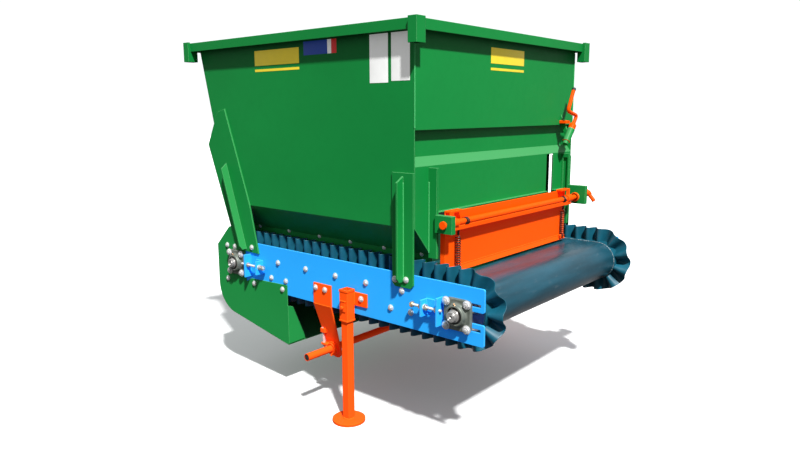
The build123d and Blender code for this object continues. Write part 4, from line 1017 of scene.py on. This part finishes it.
def roller_shape():
    """A turned roller: its profile from the centre hole of one shaft end, over the shaft, the
    end disc and the drum, and the same mirrored at the other end."""
    end, drum, radius, shaft = SHAFT_END, DRUM_END, ROLLER_RADIUS, SHAFT_RADIUS
    bore = radius - ROLLER_WALL
    half = np.array([
        (4.6, end - 12), (5.2, end - 2), (6.6, end), (9.6, end), (10.4, end - 1.6),
        (12.0, end - 1.6), (12.8, end), (16.2, end), (16.8, end - 1.0), (17.6, end - 1.0),
        (18.2, end), (shaft - 2, end), (shaft, end - 2), (shaft, end - 14),
        (shaft - 0.7, end - 15), (shaft - 0.7, end - 17), (shaft, end - 18),
        (shaft, drum - 28), (shaft + 9, drum - 28), (shaft + 9, drum - 34), (bore, drum - 34),
        (bore, drum - 1), (bore + 1, drum), (radius - 1.5, drum), (radius, drum - 1.5),
    ])
    return turned(np.vstack((half * (1, -1), half[::-1])), 64)


class SPREADER_OT_rollers(bpy.types.Operator):
    """Turned rollers with chamfered shaft ends"""
    bl_idname = "spreader.rollers"
    bl_label = "Rollers"

    def execute(self, context):
        roller = roller_shape()
        for name, x in (("discharge", half_spacing), ("tail", -half_spacing)):
            shape = roller.placed([(x, 0, AXIS_HEIGHT)], NEAR)
            piece = make_piece(name + "_roller_turned", shape, steel(), sharp=30.0)
            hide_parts(name + "_roller")
        return {"FINISHED"}


# ---- tensioners -----------------------------------------------------------
def threaded(length, radius, pitch):
    """A threaded rod along z: the radius falls by a triangle wave of height / pitch less the
    turn, so the crests climb one pitch for each turn; both ends taper off."""
    angle = np.linspace(0, 2 * np.pi, 16, endpoint=False)[None, :]
    height = np.linspace(0, length, int(length / pitch * 6))[:, None]
    climb = np.mod(height / pitch - angle / (2 * np.pi), 1.0)
    depth = 0.30 * pitch * np.abs(2 * climb - 1)
    ends = np.clip(np.minimum(height, length - height) / pitch, 0, 1)
    reach = (radius - depth) * (0.82 + 0.18 * ends)
    grid = (reach * np.cos(angle), reach * np.sin(angle), height + 0 * angle)
    return skin(np.stack(grid, axis=-1))


def nut(flats, height):
    """A hexagon nut with both corners chamfered: a turned profile limited by a hexagon."""
    return turned([(flats * 0.48, 0), (flats * 0.56, height * 0.12), (WIDE, height * 0.22),
                   (WIDE, height * 0.78), (flats * 0.56, height * 0.88), (flats * 0.48, height)],
                  24, hexagon(flats))


FLANGE_EDGE = 69.0      # where a rod starts, from the roller's axis
ROD_OUT, ROD_UP = 28.0, 6.0     # the rods from the rail's face and over the roller axes
# Each row: the roller's axis, the way of the rod, the distances from its start to the plate,
# on to the lug and on to its end, and the number of the machine's sides that have one.
TENSIONERS = (
    (-half_spacing, 1, 41.0, 102.0, 47.0, 2),
    (half_spacing, -1, 10.0, 82.0, 75.0, 1),
)
ROD_WASHER = (14.0, 2.6)        # radius and thickness
ROD_NUT = (24.0, 13.0)          # across flats and height
WASHERS_AT = (-2.9, 8.3)        # past the near face of the lug
NUTS_AT = (-16.2, 11.2)
NUT_TURN = 0.35
PLATE_NUT_AT, END_NUT_AT = 8.3, 15.0    # past the plate, and back from the rod's end


class SPREADER_OT_tensioners(bpy.types.Operator):
    """Threaded belt tensioners with nuts and washers"""
    bl_idname = "spreader.tensioners"
    bl_label = "Tensioners"

    def execute(self, context):
        settings = context.scene.spreader_fasteners
        y, z = -RAIL_FACE - ROD_OUT, AXIS_HEIGHT + ROD_UP
        disc = washer(settings.rod, *ROD_WASHER)
        screws, nuts = [], []
        for axis, way, to_plate, to_lug, to_end, sides in TENSIONERS:
            start = axis + way * FLANGE_EDGE
            lug = start + way * (to_plate + to_lug)
            end = lug + way * to_end

            def along(shape, places, turn=0.0):
                return shape.placed([(x, y, z) for x in places], (way, 0, 0), turn)

            screw = along(threaded(abs(end - start), settings.rod, settings.pitch), [start])
            screw = screw + along(disc, [lug + way * past for past in WASHERS_AT])
            nuts_at = [lug + way * past for past in NUTS_AT]
            nuts_at += [start + way * (to_plate + PLATE_NUT_AT), end - way * END_NUT_AT]
            caps = along(nut(*ROD_NUT), nuts_at, NUT_TURN)
            if sides == 2:
                screw, caps = screw.both(), caps.both()
            screws.append(screw)
            nuts.append(caps)
        make_piece("tensioner_nuts", joined(nuts), straw_zinc())
        piece = make_piece("tensioner_screws", joined(screws), zinc())
        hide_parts("tensioner_rods")
        return {"FINISHED"}


# ---- discharge flap -------------------------------------------------------
def coil_path(turns, radius, length, per_turn=16):
    """A helix about z: (r cos a, r sin a, a length / (2 pi turns))."""
    angle = np.linspace(0, 2 * np.pi * turns, int(turns * per_turn))
    height = angle / (2 * np.pi * turns) * length
    return np.stack((radius * np.cos(angle), radius * np.sin(angle), height), axis=1)


HOOK_RADIUS = 5.0
HOOK_LEAD = (0.6, 2.0)  # between coils and hook: share of the coils' radius, and past them


def tension_spring(settings, bottom, coils_from, coils_to, top):
    """A coil spring along z whose two ends run into the middle and end in open hooks: arcs
    (r cos a, 0, r sin a) about points a hook's radius inside its two ends."""
    mean = settings.coil - settings.wire
    body = coil_path(settings.turns, mean, coils_to - coils_from) + (0, 0, coils_from)
    angle = np.linspace(-0.5 * np.pi, 1.15 * np.pi, 14)
    hook = HOOK_RADIUS * np.stack((np.cos(angle), 0 * angle, np.sin(angle)), axis=1)
    low = hook[::-1] * (1, 1, -1) + (0, 0, bottom + HOOK_RADIUS)
    high = hook + (0, 0, top - HOOK_RADIUS)
    share, past = HOOK_LEAD
    path = np.vstack((low, [(mean * share, 0, coils_from - past)], body,
                      [(mean * share, 0, coils_to + past)], high))
    outward = path * (1, 1, 0) + (0.001, 0.4, 0.2)
    return carried(path, circle(settings.wire, 8), up=outward)


GATE_FACE = 585.0
BAR_X, BAR_Z = 614.0, 987.0     # the bar that the flap turns about
SPRING_X = GATE_FACE + 15
SPRING_Y = 514.0
SPRING_SHIFT = 32.0     # the far spring and the far end stop further in than the near ones
END_SHIFT = 60.0
SPRING_RUN = (768.0, 782.0, 918.0, 952.0)   # lower hook, first coil, last coil, upper hook
PIN_Z, PIN_HALF, PIN_RADIUS = 777.0, 22.0, 3.0
TAB_SIZE = (19.0, 8.0)          # out from the flap and across
TAB_HEIGHTS = (768.0, 786.0)
TAB_GAP = 16.0                  # each tab from the spring's middle
LOOP_WIRE = 1.7
LOOP_COIL = (4.5, 16.9, 29.0, 24)       # turns, radius, length, points in a turn
EAR_BEADS = (   # start, end and radius of the beads at the flap's near ear
    ((BAR_X - 14, -590, 1033), (BAR_X - 14, -497, 1033), 3.0),
    ((GATE_FACE + 1, -588, 975), (GATE_FACE + 1, -430, 975), 2.6),
)
EAR_RING = ((BAR_X, -552, BAR_Z), INWARDS, 18.0, 3.0)   # centre, axis, radius and thickness
FOLD_BEAD = ((GATE_FACE + 0.6, -588, 783), (GATE_FACE + 0.6, 528, 783), 1.7, 9.0)
SMALL_HEAD = 0.55
GRUB_AT, GRUB_OUT = (BAR_X + 4, -586, BAR_Z - 19), (0.25, 0, -1)
LOCK_GRIP = ((BAR_X + 35, BAR_Z + 34), (BAR_X + 85, BAR_Z - 24))    # x and z of its two ends
LOCK_INSET = 11.0       # the grip's middle from the lock's far end
COLLAR_Y = 588.0
KNOB_ROWS = ((10.8, 6), (14, 9), (15.5, 14), (15.5, 30), (13, 34), (10.8, 35))
BAR_COLLAR_ROWS = ((14.8, 0), (23, 0), (25, 2), (25, 12), (23, 14), (14.8, 14))


def two_ends(shape, shift):
    """A piece of the flap's near end and its mirror image at the shorter far end."""
    return shape + shape.across().moved((0, -shift, 0))


def bar_loop():
    """The wire wound on the flap's bar over each spring, its tail and the spring's upper end."""
    ring = coil_path(*LOOP_COIL)[:, [0, 2, 1]] * (1, 1, -1)
    ring = ring + (BAR_X, 20 - SPRING_Y, BAR_Z)
    tail = [(SPRING_X, 2 - SPRING_Y, 950), (SPRING_X + 2, 18 - SPRING_Y, 966)]
    wire = carried(np.vstack((tail, ring)), circle(LOOP_WIRE, 8), up=(0, 1, 0.02))
    return wire + rod((SPRING_X, -SPRING_Y, 926), (BAR_X - 7, -1 - SPRING_Y, BAR_Z - 12), 5.0, 12)


class SPREADER_OT_gate(bpy.types.Operator):
    """Coil springs, hooks, welds and stops of the discharge flap"""
    bl_idname = "spreader.gate"
    bl_label = "Gate"

    def execute(self, context):
        settings = context.scene.spreader_gate
        coat = orange(context.scene.spreader_colours)
        spring = tension_spring(settings, *SPRING_RUN).moved((SPRING_X, -SPRING_Y, 0))
        piece = make_piece("flap_springs", two_ends(spring, SPRING_SHIFT), dark_wire(),
                           GATE, 60.0)
        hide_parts("gate_springs")
        make_piece("bar_wire_loop", two_ends(bar_loop(), SPRING_SHIFT), dark_wire(),
                   GATE, 60.0)
        reach, width = TAB_SIZE
        low, high = TAB_HEIGHTS
        tabs = [slab((GATE_FACE, y - width / 2, low), (GATE_FACE + reach, y + width / 2, high), 1.2)
                for y in (-SPRING_Y - TAB_GAP, -SPRING_Y + TAB_GAP)]
        ears = [weld(*bead) for bead in EAR_BEADS] + [ring_weld(*EAR_RING)]
        welds = two_ends(joined(tabs), SPRING_SHIFT) + two_ends(joined(ears), END_SHIFT)
        make_piece("flap_tabs", welds + weld(*FOLD_BEAD), coat, GATE)
        head = bolt_head(context.scene.spreader_fasteners, size=SMALL_HEAD)
        pin_from = (SPRING_X, -PIN_HALF - SPRING_Y, PIN_Z)
        pin = rod(pin_from, (SPRING_X, PIN_HALF - SPRING_Y, PIN_Z), PIN_RADIUS, 12)
        pin = pin + head.placed([pin_from], NEAR)
        grub = head.placed([GRUB_AT], GRUB_OUT)
        make_piece("spring_pins", two_ends(pin, SPRING_SHIFT), dark_wire(), GATE)
        make_piece("bar_grub_screws", two_ends(grub, END_SHIFT), zinc(), GATE)
        grip_y = (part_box("gate_lock")[1].y - middle[1]) / MM - LOCK_INSET
        grip = np.array([(x, grip_y, z) for x, z in LOCK_GRIP])
        knob = turned(KNOB_ROWS, 24).placed(grip[:1], grip[1] - grip[0])
        make_piece("lock_knob", knob, coat)
        collar = turned(BAR_COLLAR_ROWS, 40).placed([(BAR_X, COLLAR_Y, BAR_Z)], INWARDS)
        make_piece("bar_collar", collar, coat, GATE)
        return {"FINISHED"}


# ---- hand crank -----------------------------------------------------------
CRANK_LINE = (  # foot of the sleeve, hub, knee, elbow and grip
    (572, 548, 1302), (576, 594, 1367), (579, 648, 1441), (579, 540, 1467), (579, 604, 1592),
)
CRANK_RADIUS, CRANK_BEND = 10.0, 20.0
CRANK_ARM = ((516.5, 562, 1398), (560.5, 608, 1415), 1.5)
CAP_LENGTH = 14.0
HUB_ROWS = (
    (9.5, -17), (18, -17), (19.4, -15.4), (19.4, -9), (18.2, -8), (18.2, 8), (19.4, 9),
    (19.4, 27), (18, 30), (12, 33), (11, 40), (9.5, 40),
)
CAP_ROWS = ((0.1, 0), (11.2, 0), (11.2, 12), (9.6, 14), (0.1, 14))
SLEEVE_COLLAR_ROWS = ((19, -4), (19.9, -3.6), (19.9, 0.2), (19, 1.0), (8, 1.0))
SLEEVE_PLUG_ROWS = ((5, 1), (15.5, 1), (15.5, 19), (13.5, 21), (5, 21))


class SPREADER_OT_crank(bpy.types.Operator):
    """Bent bar, hub and collar of the hand crank"""
    bl_idname = "spreader.crank"
    bl_label = "Crank"

    def execute(self, context):
        coat = orange(context.scene.spreader_colours)
        foot, hub, knee, elbow, grip = np.array(CRANK_LINE)
        along = (grip - elbow) / np.linalg.norm(grip - elbow)
        down = (foot - hub) / np.linalg.norm(foot - hub)
        bar_end = grip - along * CAP_LENGTH
        line = bend([hub, knee, elbow, bar_end], reach=CRANK_BEND)
        bar = carried(line, circle(CRANK_RADIUS, 20), up=(1, 0, 0))
        make_piece("crank_arm", slab(*CRANK_ARM), coat)
        piece = make_piece("crank_bar", bar + turned(HUB_ROWS, 36).placed([hub], -down), coat)
        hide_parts("crank")
        make_piece("crank_cap", turned(CAP_ROWS, 28).placed([bar_end], along), seal_rubber())
        make_piece("crank_collar", turned(SLEEVE_COLLAR_ROWS, 32).placed([foot], down), coat)
        make_piece("crank_plug", turned(SLEEVE_PLUG_ROWS, 28).placed([foot], down),
                   green(context.scene.spreader_colours))
        return {"FINISHED"}


# ---- legs and cross tube --------------------------------------------------
LEG_X, LEG_Y, LEG_HALF = 134.0, -753.0, 25.0
SOCKET_BANDS = ((491.0, 500.0, 2.6), (634.0, 646.0, 2.0))      # from, to and how far proud
LATCH_PLATE = ((-15, -4, 540), (15, 0.3, 590), 1.2)     # from the middle of the socket's face
LATCH_HOOD = ((-19, -6, 588), (19, 0.2, 595), 1.5)
LATCH_BEAD = ((25, 49.5, 568), (25, 49.5, 628), 3.0)
LATCH_KNOB_AT = (0, -4, 562)
LATCH_KNOB_ROWS = ((5, 0), (5, 3), (8.5, 5), (9.5, 8), (8.5, 12), (5, 13))
FOOT_RING = ((LEG_X, LEG_Y, 2), (0, 0, 1), 24.0, 4.0)   # centre, axis, radius and thickness
TUBE_X, TUBE_Z = -66.0, 282.0
HANGER_FACE = -677.0
TUBE_END = -838.0
TUBE_RING = (27.0, 3.0)         # radius and thickness
TUBE_FLANGE = (27.0, 36.0, 5.5)         # inner and outer radius, and height
TUBE_RIM = (16.4, 18.4, 1.4)
TUBE_SHADE_IN = 0.6
HANGER_TABS = (     # two corners and the softened edge
    ((-124, -694, 362), (-90, -670, 386), 2.0),
    ((-124, -690, 296), (-84, -662, 307), 1.2),
)
HANGER_KNOB_AT, HANGER_KNOB_OUT = (-62, -674, 253), (0, -0.6, -0.8)
HANGER_KNOB_ROWS = ((8, 0), (8, 4), (5, 6), (5, 9), (3.4, 10))
HANGER_PIN = ((-112, -678, 280), (-112, -686, 388), 7.4)
TUBE_SHADE_ROWS = ((0.1, 0), (16.3, 0), (16.3, 3), (0.1, 3))


def socket_band(low, high, proud, edge=0.8):
    """A raised band round the leg's socket: four slabs, one along each side of the tube."""
    half, side = LEG_HALF, LEG_HALF + proud
    spans = ((-side, -side, side, -half), (-side, half, side, side),
             (-side, -half, -half, half), (half, -half, side, half))
    return joined([slab((LEG_X + x0, LEG_Y + y0, low), (LEG_X + x1, LEG_Y + y1, high), edge)
                   for x0, y0, x1, y1 in spans])


class SPREADER_OT_legs(bpy.types.Operator):
    """Latch, collars and welds of the parking legs and cross tube"""
    bl_idname = "spreader.legs"
    bl_label = "Legs"

    def execute(self, context):
        coat = orange(context.scene.spreader_colours)
        knob = turned(LATCH_KNOB_ROWS, 20).placed([LATCH_KNOB_AT], NEAR)
        latch = joined([slab(*LATCH_PLATE), knob, slab(*LATCH_HOOD), weld(*LATCH_BEAD)])
        latch = latch.moved((LEG_X, LEG_Y - LEG_HALF, 0))
        bands = joined([socket_band(*band) for band in SOCKET_BANDS])
        make_piece("leg_latch", latch + bands, coat)
        make_piece("leg_weld", ring_weld(*FOOT_RING), coat, NEAR_LEG)
        seam = ring_weld((TUBE_X, HANGER_FACE, TUBE_Z), INWARDS, *TUBE_RING)
        flange_y = HANGER_FACE + TUBE_FLANGE[2]
        flange = washer(*TUBE_FLANGE).placed([(TUBE_X, flange_y, TUBE_Z)], INWARDS)
        knob = turned(HANGER_KNOB_ROWS, 16).placed([HANGER_KNOB_AT], HANGER_KNOB_OUT)
        tabs = joined([(seam + flange).both(), knob] + [slab(*tab) for tab in HANGER_TABS])
        make_piece("hanger_tabs", tabs, coat)
        make_piece("hanger_pin", rod(*HANGER_PIN), zinc())
        rim = washer(*TUBE_RIM).placed([(TUBE_X, TUBE_END, TUBE_Z)], INWARDS)
        make_piece("tube_rim", rim, coat)
        # A black disc just inside the tube's open end: painted shade in the hollow of the tube.
        shade_y = TUBE_END + TUBE_SHADE_IN
        shade = turned(TUBE_SHADE_ROWS, 28).placed([(TUBE_X, shade_y, TUBE_Z)], INWARDS)
        make_piece("tube_shade", shade, seal_rubber())
        return {"FINISHED"}


# ---- welds and plates -----------------------------------------------------
SUPPORT_SEAMS = [  # start, end on the near side
    ((452.5, -728, 736), (452.5, -728, 1168)),
    ((461.5, -728, 736), (461.5, -728, 1168)),
    ((520, -623, 850), (520, -623, 1166)),
    ((517.5, -718.5, 1396), (517.5, -718.5, 1790)),
]
SEAM_RADIUS = 3.0
SEAM_PAINTED_GLINT = 1.5        # how much paler the beads are than the sheet: a painted glint of light on them


class SPREADER_OT_welds(bpy.types.Operator):
    """Weld beads on the green sheet work, painted paler for the glints of light on them"""
    bl_idname = "spreader.welds"
    bl_label = "Welds"

    def execute(self, context):
        beads = joined([weld(start, end, SEAM_RADIUS) for start, end in SUPPORT_SEAMS])
        # The beads' paler coat is a painted glint of light on them.
        pale = tone(context.scene.spreader_colours.green, SEAM_PAINTED_GLINT)[:3]
        coat = paint("weld_glint_coat", pale, (0.30, 0.72, 0.42), dust_and_sheen=0.08)
        make_piece("green_welds", beads.both(), coat)
        return {"FINISHED"}


FILMS = {
    "white_film": (0.86, 0.86, 0.84),
    "yellow_film": (0.80, 0.62, 0.03),
    "blue_film": (0.012, 0.05, 0.30),
    "red_film": (0.62, 0.02, 0.02),
}
PLATES = {  # film, and x and z of two corners on the near wall, of each plate
    "blank_plates": ("white_film", (265, 1590, 372, 1795), (390, 1596, 493, 1795)),
    "yellow_stripes": ("yellow_film", (-540, 1698, -198, 1772), (-540, 1668, -198, 1680)),
    "blue_stripe": ("blue_film", (-164, 1731, 0, 1794)),
    "white_stripe": ("white_film", (0, 1731, 26, 1794)),
    "red_stripe": ("red_film", (26, 1731, 60, 1794)),
}
END_PLATES = {  # y and z of two corners on the end panel, of each plate
    "yellow_stripes": ((-148, 1692, 157, 1766), (-148, 1660, 157, 1672)),
}
WALL_FACE, PANEL_FACE = -RAIL_FACE, 517.0
PROUD, SUNK, PLATE_EDGE = 0.8, 0.1, 0.3         # a plate out of its wall and into it


def plate_on_side(x0, z0, x1, z1):
    """A thin plate on the near side wall."""
    return slab((x0, WALL_FACE - PROUD, z0), (x1, WALL_FACE + SUNK, z1), PLATE_EDGE)


def plate_on_end(y0, z0, y1, z1):
    """A thin plate on the end panel."""
    return slab((PANEL_FACE - SUNK, y0, z0), (PANEL_FACE + PROUD, y1, z1), PLATE_EDGE)


class SPREADER_OT_plates(bpy.types.Operator):
    """Blank plates and plain stripes on the hopper"""
    bl_idname = "spreader.plates"
    bl_label = "Plates"

    def execute(self, context):
        for name, (colour, *corners) in PLATES.items():
            plates = [plate_on_side(*corner) for corner in corners]
            plates += [plate_on_end(*corner) for corner in END_PLATES.get(name, ())]
            make_piece(name, joined(plates), film(colour, FILMS[colour]))
        return {"FINISHED"}


# ---- stage ----------------------------------------------------------------
CAMERA_PLACE = (2294.4, -2883.4, 1472.0)
CAMERA_TURN = (40.657, -9.789, 0.160)   # to the left, up and clockwise, in degrees
SENSOR_WIDTH = 36.0
SUN_FROM = (0.65, -0.43, 1.0)
SUN_ANGLE = 3.0         # degrees across, which softens the shadows
FLOOR_RADIUS, FLOOR_THICK = 40.0, 0.02          # in metres
BEHIND = (-0.6, 0.8, 0.0)       # towards the soft light on the tractor side
SKY_TINT = (0.95, 0.97, 1.0, 1)
WORLD_WHITE = 1.1       # what the camera sees behind the machine


class SPREADER_OT_stage(bpy.types.Operator):
    """Pale floor, soft light and camera"""
    bl_idname = "spreader.stage"
    bl_label = "Stage"

    def execute(self, context):
        settings = context.scene.spreader_stage
        scene = context.scene
        scene.view_settings.view_transform = "Standard"
        camera = bpy.data.objects.new("camera", bpy.data.cameras.new("camera"))
        scene.collection.objects.link(camera)
        camera.data.lens = settings.lens
        camera.data.sensor_width = SENSOR_WIDTH
        yaw, pitch, roll = (math.radians(angle) for angle in CAMERA_TURN)
        turn = Matrix.Rotation(yaw, 4, "Z") @ Matrix.Rotation(math.pi / 2 + pitch, 4, "X")
        turn = turn @ Matrix.Rotation(-roll, 4, "Z")
        camera.location = at(CAMERA_PLACE)
        camera.rotation_euler = turn.to_euler()
        scene.camera = camera

        floor_z = min(corner[2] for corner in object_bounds())
        disc = turned([(FLOOR_RADIUS, -FLOOR_THICK), (FLOOR_RADIUS, 0.0)], 64)
        mesh = bpy.data.meshes.new("floor")
        mesh.from_pydata((disc.points + (0, 0, floor_z)).tolist(), [],
                         [list(face) for group in disc.faces for face in group])
        floor = bpy.data.objects.new("floor", mesh)
        scene.collection.objects.link(floor)

        def build(tree, place):
            grain = noise(tree, place, 3.0, 3.0)
            pale = blend(tree, grain, (0.83, 0.83, 0.83, 1), (0.87, 0.87, 0.87, 1))
            return {"Base Color": pale}

        glow = {"Emission_Color": (1.0, 1.0, 1.0, 1.0), "Emission_Strength": settings.lift}
        mesh.materials.append(new_finish("pale_floor", build, Roughness=0.9, **glow))
        floor.visible_diffuse = False
        floor.visible_glossy = False
        floor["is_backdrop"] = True

        sun = bpy.data.objects.new("sun", bpy.data.lights.new("sun", "SUN"))
        sun.data.energy = settings.sun
        sun.data.angle = math.radians(SUN_ANGLE)
        x, y, z = SUN_FROM
        tilt = math.acos(z / math.sqrt(x * x + y * y + z * z))
        sun.rotation_euler = (tilt, 0, math.atan2(y, x) + math.pi / 2)
        scene.collection.objects.link(sun)

        world = bpy.data.worlds.new("studio")
        scene.world = world
        world.use_nodes = True
        tree = world.node_tree
        seen = add_node(tree, "ShaderNodeLightPath", {}, {}, "Is Camera Ray")
        towards = add_node(tree, "ShaderNodeTexCoord", {}, {}, "Generated")
        rise = height_of(tree, towards).over(-0.15, 0.25)
        behind = dot(tree, towards, BEHIND).over(0.1, 1.0)
        soft = settings.ground + rise * (settings.sky - settings.ground) + behind * settings.back
        light = tree.nodes["Background"]
        light.inputs["Color"].default_value = SKY_TINT
        strength = soft + seen * (WORLD_WHITE - soft)
        tree.links.new(strength.socket, light.inputs["Strength"])
        return {"FINISHED"}


# ---- panel and running ----------------------------------------------------
STEPS = (
    SPREADER_OT_coats, SPREADER_OT_sidewalls, SPREADER_OT_bolts, SPREADER_OT_bearings,
    SPREADER_OT_rollers, SPREADER_OT_tensioners, SPREADER_OT_gate, SPREADER_OT_crank,
    SPREADER_OT_legs, SPREADER_OT_welds, SPREADER_OT_plates, SPREADER_OT_stage,
)
GROUPS = {
    "spreader_colours": SpreaderColours,
    "spreader_sidewalls": SpreaderSidewalls,
    "spreader_fasteners": SpreaderFasteners,
    "spreader_gate": SpreaderGate,
    "spreader_stage": SpreaderStage,
}


class SPREADER_PT_panel(bpy.types.Panel):
    """Settings and steps of the spreader's finish"""
    bl_label = "Spreader"
    bl_idname = "SPREADER_PT_panel"
    bl_space_type = "VIEW_3D"
    bl_region_type = "UI"
    bl_category = "Spreader"

    def draw(self, context):
        for group, kind in GROUPS.items():
            box = self.layout.box()
            for prop in kind.__annotations__:
                box.prop(getattr(context.scene, group), prop)
        for step in STEPS:
            self.layout.operator(step.bl_idname)


CLASSES = tuple(GROUPS.values()) + STEPS + (SPREADER_PT_panel,)


def register():
    for kind in CLASSES:
        bpy.utils.register_class(kind)
    for name, kind in GROUPS.items():
        setattr(bpy.types.Scene, name, PointerProperty(type=kind))


def unregister():
    for name in GROUPS:
        delattr(bpy.types.Scene, name)
    for kind in reversed(CLASSES):
        bpy.utils.unregister_class(kind)


def main():
    register()
    for step in STEPS:
        group, name = step.bl_idname.split(".")
        getattr(getattr(bpy.ops, group), name)()


if __name__ == "__main__":
    main()
